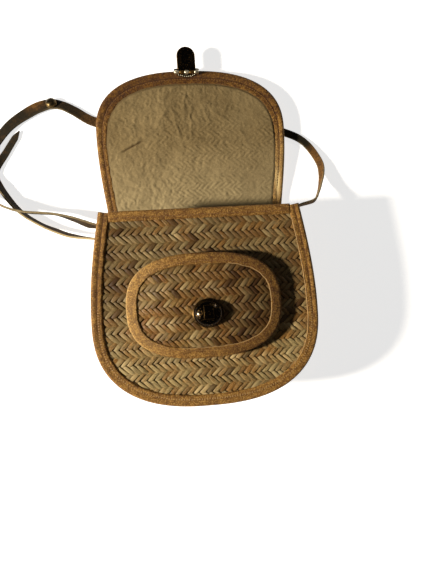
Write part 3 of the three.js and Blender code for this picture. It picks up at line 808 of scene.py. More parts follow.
def makeStrap():
    middle, across, face, index, wide = strapFrames()
    section = strapSection()
    along = distances(middle)
    toTip = np.clip((along[-1] - along) / strap["tipRun"], 0, 1)
    halfWide = wide / 2 * (strap["tipShare"] + (1 - strap["tipShare"]) * toTip)
    uneven = (1 - strap["paleEven"]) * softNoise(along / strap["paleRun"], 0.5, strap["paleSeed"])
    tables = (strapDarkAndShadow, strapEdgePaleAndLit, strapGold)
    darkAndShadowShare, paleAndLitShare, goldShare = (np.interp(index, *zip(*rows)) for rows in tables)
    paleAndLitShare = paleAndLitShare * (strap["paleEven"] + uneven)
    points, edge, dark = [], [], []
    for i in range(len(middle)):
        for side, inward, level in section:
            u = side * max(halfWide[i] - inward, strap["leastHalf"] * halfWide[i])
            points.append(middle[i] + across[i] * u + face[i] * level)
            edge.append(paleAndLitShare[i] * edgePale(side, inward))
            dark.append(darkAndShadowShare[i] - goldShare[i] * (1 - side) / 2)
    faces = ringFaces(len(middle), len(section), False)
    mesh = makeMesh("strap", points, faces, {"edge": edge, "dark": dark})
    piece = makePiece("strapBelt", outwards(mesh), strapHide, replaced=["strap"])
    return piece, middle, along[-1], float(wide.mean())


strapStud = {
    "foot": 6, "rim": 0.9, "tall": 4.4, "flange": 0.3, "chamfer": 0.3, "rimDrop": 0.2, "rimOut": -0.2,
    "rimRise": 0, "domeFrom": 15, "domeStep": 15, "around": 32, "seat": 0.3,
    "worn": 0.1, "rimWorn": 0.4, "wornFrom": 0.8,
}


def makeStud():
    middle, across, face = (rows[strap["studAt"] * strap["stepsPerSpan"]] for rows in strapFrames()[:3])
    points, faces = lathe(domeProfile(strapStud), strapStud["around"])
    base = middle + face * (strap["thick"] / 2 + strapStud["seat"])
    moved = base + points[:, :1] * across + points[:, 1:2] * np.cross(face, across) + points[:, 2:] * face
    onRim = np.hypot(points[:, 0], points[:, 1]) > strapStud["wornFrom"] * strapStud["foot"]
    worn = strapStud["worn"] + strapStud["rimWorn"] * onRim
    mesh = outwards(makeMesh("strapStud", moved, faces, {"wearAndHighlight": worn}))
    return makePiece("strapButton", mesh, dullMetal, replaced=["strap_stud"])


strapPiece, strapMiddle, strapLength, strapWide = makeStrap()
studPiece = makeStud()
tuple(placed(strapMiddle[0]))
[tuple(p) for p in placed(strapMiddle)]
print("strap laid, length", round(strapLength, 1))


# Geometry Nodes: guide lines in, one joined and coloured mesh out

def guideTree(name, sizes):
    tree = bpy.data.node_groups.new(name, "GeometryNodeTree")
    tree.interface.new_socket("Geometry", in_out="INPUT", socket_type="NodeSocketGeometry")
    for label in sizes:
        tree.interface.new_socket(label, in_out="INPUT", socket_type=floatKind)
    tree.interface.new_socket("Material", in_out="INPUT", socket_type="NodeSocketMaterial")
    tree.interface.new_socket("Geometry", in_out="OUTPUT", socket_type="NodeSocketGeometry")
    start = addNode(tree, "NodeGroupInput").outputs
    lines = addNode(tree, "GeometryNodeMeshToCurve", {"Mesh": start["Geometry"]})
    return tree, start, lines.outputs[0]


def endTree(tree, start, shape):
    whole = addNode(tree, "GeometryNodeRealizeInstances", {"Geometry": shape.outputs[0]})
    coloured = addNode(tree, "GeometryNodeSetMaterial", {
        "Geometry": whole.outputs[0], "Material": start["Material"]})
    tree.links.new(coloured.outputs[0], addNode(tree, "NodeGroupOutput").inputs[0])
    return tree


def guideMesh(name, points, edges, floats):
    mesh = bpy.data.meshes.new(name)
    mesh.from_pydata((np.asarray(points) * mm).tolist(), edges, [])
    return mark(mesh, floats)


def growMesh(name, guide, tree, sizes, material):
    # runs a tree on its guide and keeps the result as a plain mesh
    holder = bpy.data.objects.new(name, guide)
    scene.collection.objects.link(holder)
    modifier = holder.modifiers.new(tree.name, "NODES")
    modifier.node_group = tree
    for item in tree.interface.items_tree:
        if item.name in sizes:
            modifier[item.identifier] = sizes[item.name] * mm
        elif item.name == "Material":
            modifier[item.identifier] = material
    graph = bpy.context.evaluated_depsgraph_get()
    mesh = bpy.data.meshes.new_from_object(holder.evaluated_get(graph))
    holder.modifiers.remove(modifier)
    bpy.data.objects.remove(holder)
    bpy.data.meshes.remove(guide)
    return smooth(mesh)


# Woven rush

plait = {
    "alongRow": 6.3,
    "rowPitch": 2.64,
    "floats": 3,
    "strandWide": 5.2,
    "strandThick": 1.25,
    "crest": 0.85,
    "arch": 1.25,
    "inset": 4.0,
    "sides": 6,
}
# how strands differ from one another
strandDraw = {
    "clump": 0.3, "clumpSize": 3.1, "tone": 0.34, "toneHills": 0.3, "toneWide": 19, "toneLong": 13,
    "sizes": [0.74, 0.9, 0.97, 1.0, 1.04, 1.1], "swell": 0.1, "swellLong": 9,
    "worn": (0.07, 0.2), "pale": (-0.08, 0.27), "paleHills": 0.55, "paleWide": 13, "paleLong": 10,
    "drift": 0.4, "driftLong": 19, "driftStep": 3.7, "level": 0.1, "fibreRun": 1.5, "fibreStep": 0.37,
}


def plaitTree():
    tree, start, lines = guideTree("rushPlait", ("Strand Wide", "Strand Thick"))
    upright = addNode(tree, "GeometryNodeSetCurveNormal", {"Curve": lines}, mode="Z_UP")
    ring = addNode(tree, "GeometryNodeCurvePrimitiveCircle", {"Resolution": plait["sides"], "Radius": 1.0})
    place = addNode(tree, "GeometryNodeInputPosition")
    side = addNode(tree, "ShaderNodeSeparateXYZ", {0: place.outputs[0]}).outputs["X"]
    marked = addNode(tree, "GeometryNodeStoreNamedAttribute", {
        "Geometry": ring.outputs[0], "Name": "across", "Value": side})
    halfWide = maths(tree, "MULTIPLY", start["Strand Wide"], 0.5)
    halfThick = maths(tree, "MULTIPLY", start["Strand Thick"], 0.5)
    sizes = addNode(tree, "ShaderNodeCombineXYZ", {"X": halfWide, "Y": halfThick, "Z": 1.0})
    section = addNode(tree, "GeometryNodeTransform", {
        "Geometry": marked.outputs[0], "Scale": sizes.outputs[0]})
    swell = addNode(tree, "GeometryNodeInputNamedAttribute", {"Name": "swell"})
    strands = addNode(tree, "GeometryNodeCurveToMesh", {
        "Curve": upright.outputs[0], "Profile Curve": section.outputs[0], "Scale": swell.outputs[0],
        "Fill Caps": True})
    return endTree(tree, start, strands)


plaitNodes = plaitTree()


def plaitGuide(weave, box, inside, darkening):
    # strands of both leans as lines on the flat; a strand rides over, then under, by its height up the panel
    (x0, x1), (y0, y1) = box
    half, pitch, seed = weave["alongRow"] / 2, plait["rowPitch"], weave["seed"]
    heights = np.arange(y0, y1, pitch / weave["samples"])
    wave = np.cos(np.pi * ((heights - weave["shift"]) / pitch - 1) / plait["floats"])
    ride = plait["crest"] * np.tanh(plait["arch"] * wave) / math.tanh(plait["arch"])
    reach = int((x1 - x0) / weave["alongRow"] + (y1 - y0) / pitch) + 4
    points, edges = [], []
    floats = {"tint": [], "along": [], "swell": [], "shade": [], "bleach": []}
    draw, by = np.random.default_rng(seed), strandDraw
    for lean in (1, -1):
        for k in range(-reach, reach):
            clump = softNoise(k / by["clumpSize"], 0.5 * lean, seed)
            tone = 0.5 + by["clump"] * clump + draw.uniform(-by["tone"], by["tone"])
            size = draw.choice(by["sizes"])
            worn = max(0.0, draw.normal(*by["worn"]))
            pale = draw.normal(*by["pale"])
            wander = softNoise(heights / by["driftLong"], k * by["driftStep"] + lean, seed + 1)
            drift = draw.uniform(-by["drift"], by["drift"]) + by["drift"] * wander
            xs = lean * half * (heights / pitch - 2 * k) + drift
            zs = lean * ride + draw.uniform(-by["level"], by["level"])
            hills = softNoise(xs / by["toneWide"], heights / by["toneLong"], seed + 5)
            paleHills = softNoise(xs / by["paleWide"], heights / by["paleLong"], seed + 6)
            values = {
                "tint": np.clip(tone + by["toneHills"] * hills, 0, 1),
                "along": mm * heights * by["fibreRun"] + by["fibreStep"] * k,
                "swell": size * (1 + by["swell"] * softNoise(heights / by["swellLong"], k, seed + 2)),
                # the panel's darkening, with painted shade on the pocket's right side, plus each strand's own
                # random darkening
                "shade": darkening(xs, heights) + worn,
                "bleach": np.clip(pale + by["paleHills"] * paleHills, 0, weave["palest"]),
            }
            chosen = np.flatnonzero(inside(xs, heights))
            first = len(points)
            points += [(xs[n], heights[n], zs[n]) for n in chosen]
            edges += [(first + i, first + i + 1) for i in np.flatnonzero(np.diff(chosen) == 1)]
            for label, rows in floats.items():
                rows.extend(values[label][chosen])
    return points, edges, floats


noShare = spannedShare(0)
usualWeave = {"samples": 2, "alongRow": plait["alongRow"], "shift": 0.0, "scale": 1.0, "palest": 0.75}


def makeWeave(name, node, box, inside, toPlace, material, slot, darkening=noShare, **changes):
    weave = dict(usualWeave, **changes)
    guide = guideMesh(name, *plaitGuide(weave, box, inside, darkening))
    sizes = {"Strand Wide": plait["strandWide"] * weave["scale"], "Strand Thick": plait["strandThick"]}
    mesh = growMesh(name, guide, plaitNodes, sizes, material)
    mesh.vertices.foreach_set("co", placed(toPlace(vertexPlaces(mesh))).ravel())
    mesh.update()
    print(name, "strands", sum(len(p.vertices) - 2 for p in mesh.polygons), "triangles")
    return makePiece(name, mesh, material, replaced=[node])


def onSurface(heightAt):
    return lambda flat: np.column_stack([flat[:, :2], heightAt(flat[:, 0], flat[:, 1]) + flat[:, 2]])


def insideFront(x, y):
    return (y < -plait["inset"]) & (np.abs(x) < halfWidth(insetShape(frontShape, plait["inset"]), -y))


def insideBackFlap(x, y):
    below = np.abs(x) < halfWidth(insetShape(backShape, plait["inset"]), -y)
    above = np.abs(x) < halfWidth(insetShape(flapShape, plait["inset"]), y)
    return np.where(y > 0, above, below)


def insidePocket(x, y):
    return ovalShare(x, y, plait["inset"]) < 1


gussetBand = {
    "inset": 13.2, "bulge": 2.6, "low": 4.3, "high": 62.95, "mouthGap": 2.0, "edge": 0.4, "stations": 800,
}


def gussetMap():
    # maps a flat strip, distance along and height, to the band round the sides and the bottom
    inset, low, high = (gussetBand[key] for key in ("inset", "low", "high"))
    share = np.linspace(0, 1, gussetBand["stations"])
    sides = []
    for shape in (backShape, frontShape):
        line = evenLine(bodyLine(shape), 1.0, False)
        along = line["along"] / line["length"]
        sides.append([between(share, along, line[key]) for key in ("points", "normals")])
    inner = sum(points - normals * inset for points, normals in sides) / 2
    length = distances(inner)[-1]

    def toPlace(flat):
        place = np.clip(flat[:, 0] / length, 0, 1)
        level = flat[:, 1] / (high - low)
        away = (inset - gussetBand["bulge"] * np.sin(np.pi * np.clip(level, 0, 1)) - flat[:, 2])[:, None]
        below, above = (between(place, share, points) - between(place, share, normals) * away
                        for points, normals in sides)
        return np.column_stack([below + (above - below) * level[:, None], low + flat[:, 1]])

    return toPlace, length


def makeGusset():
    toPlace, length = gussetMap()
    gap, edge = gussetBand["mouthGap"], gussetBand["edge"]
    box = (0, length), (edge, gussetBand["high"] - gussetBand["low"] - edge)
    makeWeave("gussetWeave", "gusset", box, lambda x, y: (x > gap) & (x < length - gap), toPlace,
              rush, "rush", seed=5)


pocketBand = {
    "fromAngle": 150, "toAngle": 390, "inset": 1.3, "tall": 8, "edge": 0.2, "endGap": 1, "foot": 1.2,
}


def makePocketBand():
    line = evenLine(pocketLine(pocketBand["fromAngle"], pocketBand["toAngle"]), 1.0, False)
    spots = line["points"] - line["normals"] * (pocket["bindingWide"] + pocketBand["inset"])
    along = distances(spots)
    tall, edge, gap = pocketBand["tall"], pocketBand["edge"], pocketBand["endGap"]

    def toPlace(flat):
        out = between(flat[:, 0], along, line["normals"]) * flat[:, 2:]
        x, y = (between(flat[:, 0], along, spots) + out).T
        low = frontHeight(x, y) + pocketBand["foot"]
        top = pocketHeight(x, y) - pocket["woven"] / 2 - bag["gap"]
        return np.column_stack([x, y, low + (top - low) * flat[:, 1] / tall])

    makeWeave("pocketBandWeave", "pocket_gusset", ((0, along[-1]), (edge, tall - edge)),
              lambda x, y: (x > gap) & (x < along[-1] - gap), toPlace, pocketRush, "pocket_rush",
              seed=11, alongRow=5.8, scale=0.9)


# how much darker the strands are: towards the front's top and its left side, and on the pocket an even
# darkening with painted shade growing towards its right side
frontShade = spannedShare(0, (0.42, [], [(-165, -45)]), (0.19, [(-40, -90)], [(-165, -105)]))
pocketPaintedShade = spannedShare(0.25, (0.45, [(-15, 55)], []))
frontClouds = {"share": 0.14, "wide": 30, "long": 24, "seed": 6}


def frontDarkening(x, y):
    hills = softNoise(x / frontClouds["wide"], y / frontClouds["long"], frontClouds["seed"])
    return frontShade(x, y) + frontClouds["share"] * hills


# from and to, in x and then in y
frontBox = ((-112, 112), (-196, 0))
backFlapBox = ((-112, 112), (-196, 161))
pocketBox = ((-79, 75), (-150, -44))
makeWeave("frontWeave", "front_panel", frontBox, insideFront, onSurface(frontHeight), rush, "rush",
          frontDarkening, samples=3, seed=2, shift=8.4)
makeWeave("backFlapWeave", "back_flap_panel", backFlapBox, insideBackFlap, onSurface(backHeight),
          rush, "rush", samples=1.7, seed=3)
makeGusset()
makeWeave("pocketWeave", "pocket_panel", pocketBox, insidePocket, onSurface(pocketHeight), pocketRush,
          "pocket_rush", pocketPaintedShade, samples=3, seed=4, alongRow=5.8, scale=0.92, palest=0.58)
makePocketBand()


# Folded leather edges

fold = {
    "turn": 2.4, "hemShares": (1, 0.985, 0.955, 0.9), "topFrom": 0.84, "topSteps": 18, "bendStep": 15,
    "outerRoll": 0.75, "innerRoll": 0.4, "rollDrop": 0.35, "lipRun": 1.6, "slack": 0.1,
    "grooveHalf": 0.6, "grooveDark": 0.85, "joinHalf": 0.5, "joinDark": 0.9, "joinFacing": -0.5,
}
# height, run along the strip, run across it; then how the hem wanders: reach, run along
foldLumps = [(0.16, 4.5, 3), (0.12, 1.7, 1.5)]
foldWander = [(0.35, 6), (0.3, 2.3)]


def foldSection(wide, half, inner):
    # round the folded strip, for each station: distance in from the edge, and height
    count, turn = len(wide), fold["turn"]
    share = np.concatenate([fold["hemShares"], np.linspace(fold["topFrom"], 0, fold["topSteps"])])
    step = fold["bendStep"]
    bend = np.radians(np.arange(90 - step, -90, -step))
    edge = np.broadcast_to(turn * (1 - np.cos(bend)), (count, len(bend)))
    under = turn + (wide - turn) * np.array([0, 0.5, 1])
    hem = np.full((count, 1), bag["leather"])
    a = np.concatenate([turn + (wide - turn) * share, edge, under, wide, hem, hem, wide], axis=1)
    upper = [np.full(len(share), half), half * np.sin(bend)]
    b = np.concatenate([*upper, [-half] * 3, [-inner] * 2, [inner] * 2])
    return a, b[None], (np.arange(a.shape[1]) < len(share))[None]


def foldedEdge(name, node, line, heightAt, wide, panelThick, rollHigh, darkening, paintedLight=noShare, *,
               grooveShare, seed, joinAt=None):
    # a strip folded over the panel's edge, with two soft rolls and a sewn groove on its upper side
    half = panelThick / 2 + bag["gap"] + bag["leather"]
    inner = panelThick / 2 + bag["gap"] - fold["slack"]
    count = len(line["points"])
    wide = np.broadcast_to(np.asarray(wide, float), count)[:, None]
    a, b, isTop = foldSection(wide, half, inner)
    groove = wide * grooveShare
    outer = fold["outerRoll"] * np.sin(np.pi * np.clip(a / groove, 0, 1))
    within = np.clip((a - groove) / (wide - groove), 0, 1)
    rolls = outer + fold["innerRoll"] * np.sin(np.pi * within) - fold["rollDrop"]
    lip = np.clip(1 - (wide - a) / fold["lipRun"], 0, 1) ** 2
    roll = np.asarray(rollHigh(line["points"]))[:, None]
    along = line["along"][:, None]
    lumps = sum(high * softNoise(along / run, a / over, seed + k)
                for k, (high, run, over) in enumerate(foldLumps))
    wander = sum(far * softNoise(along / run, 0.5, seed + 2 + k) for k, (far, run) in enumerate(foldWander))
    outside = np.abs(b) > inner + 2 * fold["slack"]
    away = a + wander * np.clip((a - fold["turn"]) / (wide - fold["turn"]), 0, 1) * outside
    x = line["points"][:, :1] - line["normals"][:, :1] * away
    y = line["points"][:, 1:] - line["normals"][:, 1:] * away
    z = heightAt(x, y) + b + isTop * (roll * rolls - lip + lumps)
    # painted shade in the groove, stronger where the rolls stand higher
    sunk = np.exp(-((a - groove) / fold["grooveHalf"]) ** 2) * np.clip(roll, 0, 1)
    grooves = isTop * sunk * fold["grooveDark"]
    if joinAt is not None:
        # the strip's two ends overlap here, on the lower side
        join = fold["joinDark"] * np.exp(-((x - joinAt) / fold["joinHalf"]) ** 2)
        grooves = np.maximum(grooves, isTop * join * (line["normals"][:, 1:] < fold["joinFacing"]))
    points = np.stack([x, y, z], axis=-1).reshape(-1, 3)
    mesh = makeMesh(name, points, ringFaces(count, a.shape[1], line["closed"]), {
        "groove": grooves.ravel(), "shade": darkening(x, y).ravel(), "wearAndHighlight": paintedLight(x, y).ravel()})
    return makePiece(name, outwards(mesh), binding, replaced=[node])


flapTip = {"extra": 4.2, "span": (78, 133)}
sideRolls = {"least": 0.25, "span": (-150, -90)}
# how much darker the leather is: towards the flap's tip, partly painted shade of a tip turned from the light
# and partly darker leather, and along the flap's left side; towards the front edge's top and left; evenly
# along the mouth; and painted shade growing towards the pocket's right side
flapShade = spannedShare(
    0.04, (0.88, [], [(80, 125)]), (-0.22, [(0, 60)], [(80, 125)]),
    (0.36, [(-60, -85)], [(0, 20), (110, 80)]))
frontEdgeShade = spannedShare(0.1, (0.24, [(0, -60)], [(-180, -120)]))
mouthShade = spannedShare(0.28)
pocketEdgeShade = spannedShare(0.06, (0.48, [(-40, 40)], []))
# how much paler it is, as painted light
flapSideLight = spannedShare(0, (0.13, [(80, 92)], [(100, 60)]))
pocketSideLight = spannedShare(0, (0.07, [(-25, -65)], []))
flapHighlight = {"share": 0.85, "x": 93.5, "y": 36, "halfX": 2.4, "halfY": 13}
pocketRimLight = {"share": 0.24, "ovalSpan": (0.955, 0.995), "spanX": (-45, -67)}


def sideRoll(points):
    # the rolls stand out along the sides and flatten round the bottom
    return sideRolls["least"] + (1 - sideRolls["least"]) * fade(points[:, 1], sideRolls["span"])


def evenRoll(high):
    return lambda points: np.full(len(points), high)


def flapBindingWide(points):
    # the strip is broader round the flap's tip
    return bag["bindingWide"] + flapTip["extra"] * fade(points[:, 1], flapTip["span"])


def flapPaintedLight(x, y):
    # a painted highlight: one pale spot on the flap's right edge, and painted light on the edge above the
    # mouth
    beside, above = (x - flapHighlight["x"]) / flapHighlight["halfX"], (y - flapHighlight["y"]) / flapHighlight["halfY"]
    return flapHighlight["share"] * np.exp(-beside ** 2 - above ** 2) + flapSideLight(x, y) * (y > 0)


def pocketPaintedLight(x, y):
    # painted light: the oval's left side is paler, most of all along its outer edge
    rim = fade(ovalShare(x, y), pocketRimLight["ovalSpan"]) * fade(x, pocketRimLight["spanX"])
    return pocketSideLight(x, y) + pocketRimLight["share"] * rim


edgeStep, ovalStep, mouthHalf = 1.6, 1.4, 90.0
backRing = evenLine(backFlapLine(), edgeStep, True)
frontEdge = evenLine(bodyLine(frontShape), edgeStep, False)
mouthEdge = evenLine(np.array([[mouthHalf, 0.0], [-mouthHalf, 0.0]]), edgeStep, False)
pocketRing = evenLine(pocketLine(), ovalStep, True)
foldedEdge("backFlapBinding", "back_flap_binding", backRing, backHeight, flapBindingWide(backRing["points"]),
           bag["woven"], sideRoll, flapShade, flapPaintedLight, grooveShare=0.55, seed=21)
foldedEdge("frontBinding", "front_binding", frontEdge, frontEdgeHeight, bag["bindingWide"], bag["woven"],
           sideRoll, frontEdgeShade, grooveShare=0.54, seed=22)
foldedEdge("mouthBinding", "mouth_binding", mouthEdge, frontEdgeHeight, bag["mouthBindingWide"], bag["woven"],
           evenRoll(high=0.3), mouthShade, grooveShare=0.68, seed=23)
foldedEdge("pocketBinding", "pocket_binding", pocketRing, pocketHeight, pocket["bindingWide"],
           pocket["woven"] + pocket["slack"], evenRoll(high=0.2), pocketEdgeShade, pocketPaintedLight,
           grooveShare=0.82, seed=24, joinAt=11)
print("leather edges folded")


# Sewing: rows of short stitches and laid threads

def rowTree():
    tree, start, lines = guideTree("sewnRow", ("Spacing", "Long", "Wide", "High"))
    even = addNode(tree, "GeometryNodeResampleCurve", {
        "Curve": lines, "Length": start["Spacing"]}, mode="LENGTH")
    ball = addNode(tree, "GeometryNodeMeshUVSphere", {"Segments": 10, "Rings": 6, "Radius": 0.5})
    sizes = addNode(tree, "ShaderNodeCombineXYZ", {
        "X": start["Long"], "Y": start["Wide"], "Z": start["High"]})
    stitch = addNode(tree, "GeometryNodeTransform", {"Geometry": ball.outputs[0], "Scale": sizes.outputs[0]})
    ahead = addNode(tree, "GeometryNodeInputTangent")
    turn = addNode(tree, "FunctionNodeAlignRotationToVector", {"Vector": ahead.outputs[0]}, axis="X")
    copies = addNode(tree, "GeometryNodeInstanceOnPoints", {
        "Points": even.outputs[0], "Instance": stitch.outputs[0], "Rotation": turn.outputs[0]})
    return endTree(tree, start, copies)


def threadTree():
    tree, start, lines = guideTree("laidThread", ("Thick",))
    radius = maths(tree, "MULTIPLY", start["Thick"], 0.5)
    ring = addNode(tree, "GeometryNodeCurvePrimitiveCircle", {"Resolution": 6, "Radius": radius})
    tube = addNode(tree, "GeometryNodeCurveToMesh", {
        "Curve": lines, "Profile Curve": ring.outputs[0], "Fill Caps": True})
    return endTree(tree, start, tube)


rowNodes, threadNodes = rowTree(), threadTree()


def makeSewn(name, lines, tree, sizes, material):
    points, edges = [], []
    for line in lines:
        first = len(points)
        points += [tuple(p) for p in line]
        edges += [(k, k + 1) for k in range(first, len(points) - 1)]
    guide = guideMesh(name, np.array(points) + (0, bag["mouthY"], 0), edges, {})
    return makePiece(name, growMesh(name, guide, tree, sizes, material), material)


def makeRow(name, lines, material):
    sizes = dict(zip(("Spacing", "Long", "Wide", "High"), stitches[name]))
    return makeSewn(name, lines, rowNodes, sizes, material)


def makeThread(name, lines):
    return makeSewn(name, lines, threadNodes, {"Thick": sewing["threadThick"]}, paleThread)


sewing = {
    "lift": 2.7, "threadThick": 0.75, "waverRun": 4, "waverSeed": 41, "leastPoints": 4,
    "flapShare": 0.64, "flapSink": 0.05, "flapFrom": 30, "mouthInset": 7.1, "mouthHalf": 84,
    "frontShare": 0.64, "frontTop": -95, "pocketShare": 0.76,
    "pocketHem": 0.2, "pocketSink": 0.4, "pocketWaver": 0.5, "pocketRight": 22, "pocketLow": 20,
    "pocketLeft": -30, "frontHem": 0.3, "frontSink": 0.2, "frontWaver": 0.4, "frontRight": 60,
    "frontSpan": (-170, -12),
}
# spacing, long, wide, high
stitches = {
    "flapStitches": (2.9, 2.0, 0.9, 0.7),
    "mouthStitches": (2.9, 1.7, 0.9, 0.7),
    "frontStitches": (2.5, 0.8, 2.1, 0.9),
    "pocketStitches": (2.9, 1.7, 0.9, 0.8),
    "claspBeads": (2.1, 1.4, 1.4, 1.1),
}


def insetLine(line, inset, heightAt, lift, chosen, waver=0.0):
    # the chosen runs of an edge line, moved inwards and lifted
    wander = waver * softNoise(line["along"] / sewing["waverRun"], 0.5, sewing["waverSeed"])
    spots = line["points"] - line["normals"] * (inset + wander)[:, None]
    whole = np.column_stack([spots, heightAt(spots[:, 0], spots[:, 1]) + lift])
    kept = np.flatnonzero(chosen)
    runs = np.split(kept, np.flatnonzero(np.diff(kept) > 1) + 1)
    return [whole[run] for run in runs if len(run) >= sewing["leastPoints"]]


def makeSewing():
    lift, wide = sewing["lift"], bag["bindingWide"]
    flapY, (frontX, frontY) = backRing["points"][:, 1], frontEdge["points"].T
    mouthX, (pocketX, pocketY) = mouthEdge["points"][:, 0], pocketRing["points"].T
    flapRow = insetLine(backRing, flapBindingWide(backRing["points"]) * sewing["flapShare"], backHeight,
                        lift - sewing["flapSink"], flapY > sewing["flapFrom"])
    makeRow("flapStitches", flapRow, thread)
    mouthRow = insetLine(mouthEdge, sewing["mouthInset"], frontEdgeHeight, lift,
                         np.abs(mouthX) < sewing["mouthHalf"])
    makeRow("mouthStitches", mouthRow, thread)
    frontRow = insetLine(frontEdge, wide * sewing["frontShare"], frontEdgeHeight, lift,
                         frontY < sewing["frontTop"])
    makeRow("frontStitches", frontRow, paleThread)
    pocketRow = insetLine(pocketRing, pocket["bindingWide"] * sewing["pocketShare"], pocketHeight, lift,
                          np.full(len(pocketX), True))
    makeRow("pocketStitches", pocketRow, thread)
    low = (pocketY < pocket["middleY"] - sewing["pocketLow"]) & (pocketX > sewing["pocketLeft"])
    pocketThread = insetLine(pocketRing, pocket["bindingWide"] - sewing["pocketHem"], pocketHeight,
                             lift - sewing["pocketSink"], (pocketX > sewing["pocketRight"]) | low,
                             sewing["pocketWaver"])
    makeThread("pocketThread", pocketThread)
    lowest, highest = sewing["frontSpan"]
    right = (frontX > sewing["frontRight"]) & (frontY > lowest) & (frontY < highest)
    frontThread = insetLine(frontEdge, wide - sewing["frontHem"], frontEdgeHeight, lift - sewing["frontSink"],
                            right, sewing["frontWaver"])
    makeThread("frontThread", frontThread)


makeSewing()
print("sewing done")


# Lining of the flap

liningCut = {
    "inBag": 18, "bagHalf": 81, "thick": 0.8, "least": 0.3, "tuck": 1.2, "tipGap": 0.6, "mouthSpan": (-4, 0),
    "rows": 220, "columns": 190,
}
# where and how much the plait below shows through the cloth
liningPress = {
    "high": 0.68, "sharp": 1.9, "edgeSpan": (-0.5, 1.3), "mouthSpan": (-4, 6), "least": 0.15,
    "leftSpan": (-62, -2), "tipSpan": (128, 88), "patchWide": 21, "patchLong": 17, "patchSeed": 33,
    "hollowShade": 0.3, "hollowMost": 0.5, "border": 0.6, "borderRun": 2.2, "borderFrom": 4,
}
# how the pressed plait wanders: reach, wide, long, random start
liningWander = [(0.9, 8, 7, 31), (0.7, 9, 6, 32)]
# middle x, middle y, turn in degrees, half length, half width, height
liningCreases = [
    (-16, 100, 100, 15, 1.3, 0.55), (-1, 103, 88, 17, 1.3, 0.6), (-30, 112, 60, 12, 2, 0.5),
    (14, 118, 110, 12, 1.6, 0.45), (-6, 128, 80, 12, 1.6, 0.5), (34, 108, 140, 14, 2, 0.45),
    (-50, 92, 30, 14, 2.2, 0.5), (-62, 104, 70, 10, 1.8, 0.45), (20, 42.5, 1.5, 42, 0.9, 0.7),
    (-46, 58, 35, 16, 2.4, 0.4), (58, 84, 120, 12, 1.8, 0.4),
]
# size, height, random start, turn in degrees
liningCrumples = [(13, 0.62, 35, 20), (6.5, 0.64, 36, 64), (3.6, 0.46, 37, 112), (2.3, 0.28, 38, 155)]
crumpling = {
    "creaseWaver": 1.2, "creaseRun": 6, "creaseSeed": 34, "bend": 0.6, "bendTimes": 1.4, "bendSeed": 9,
    "least": 0.55, "slant": 0.5, "slantFrom": 40, "span": (30, -30),
}
liningSlit = {
    "start": (-79, 72.5), "end": (-53, 84.8), "half": 0.8, "deep": 0.7,
    "lip": 0.7, "lipOff": 1.8, "lipHalf": 1.4,
}


def plaitRelief(x, y):
    # how the plait below shows through the cloth
    half, pitch = plait["alongRow"] / 2, plait["rowPitch"]
    over = np.tanh(liningPress["sharp"] * np.cos(np.pi * (y / pitch - 1) / plait["floats"]))
    strands = [(y / pitch + lean * x / half) / 2 for lean in (-1, 1)]
    first, second = (np.cos(np.pi * (value - np.round(value))) for value in strands)
    return np.maximum(over + first, second - over)


def turned(x, y, degrees):
    turn = math.radians(degrees)
    return x * math.cos(turn) + y * math.sin(turn), y * math.cos(turn) - x * math.sin(turn)


def slitShares(x, y):
    # one on the slit and one on its lip, fading off across them and towards their ends
    (x0, y0), (x1, y1) = liningSlit["start"], liningSlit["end"]
    length = math.hypot(x1 - x0, y1 - y0)
    along, off = turned(x - x0, y - y0, math.degrees(math.atan2(y1 - y0, x1 - x0)))
    ends = np.sqrt(np.clip(4 * along / length * (1 - along / length), 0, 1))
    slit = np.exp(-(off / liningSlit["half"]) ** 2) * ends
    return slit, np.exp(-((off - liningSlit["lipOff"]) / liningSlit["lipHalf"]) ** 2) * ends


def pastBinding(x, y):
    # how far each point lies inside the folded edge's inner line
    line = backRing["points"][backRing["points"][:, 1] > -liningCut["inBag"]]
    wide = flapBindingWide(line)
    past = np.empty_like(x)
    for i in range(len(x)):
        away = np.hypot(x[i][:, None] - line[:, 0], y[i][:, None] - line[:, 1])
        past[i] = (away - wide).min(axis=1)
    return past


def liningFolds(x, y):
    # single creases, and crumples that are stronger towards the left
    by, folds, crumple = crumpling, 0, 0
    for middleX, middleY, angle, length, wide, high in liningCreases:
        u, v = turned(x - middleX, y - middleY, angle)
        v = v + by["creaseWaver"] * softNoise(u / by["creaseRun"], middleX, by["creaseSeed"])
        folds = folds + high * np.exp(-(u / length) ** 2 - (v / wide) ** 2)
    for size, high, seed, angle in liningCrumples:
        u, v = (side / size for side in turned(x, y, angle))
        bend = by["bend"] * softNoise(by["bendTimes"] * u, by["bendTimes"] * v, seed + by["bendSeed"])
        crumple = crumple + high * np.abs(softNoise(u + bend, v - bend, seed))
    left = fade(x - by["slant"] * (y - by["slantFrom"]), by["span"])
    return folds + crumple * (by["least"] + (1 - by["least"]) * left)


def sheetFaces(count, wide):
    # an upper and a lower grid, joined round the rim
    faces, under = [], count * wide
    for i in range(count - 1):
        for j in range(wide - 1):
            a = i * wide + j
            b, c, d = a + 1, a + wide + 1, a + wide
            faces.append((a, b, c, d))
            faces.append((under + a, under + d, under + c, under + b))
    rim = list(range(wide - 1)) + [i * wide + wide - 1 for i in range(count - 1)]
    rim += [(count - 1) * wide + j for j in range(wide - 1, 0, -1)]
    rim += [i * wide for i in range(count - 1, 0, -1)]
    for p, q in zip(rim, rim[1:] + rim[:1]):
        faces.append((q, p, under + p, under + q))
    return faces


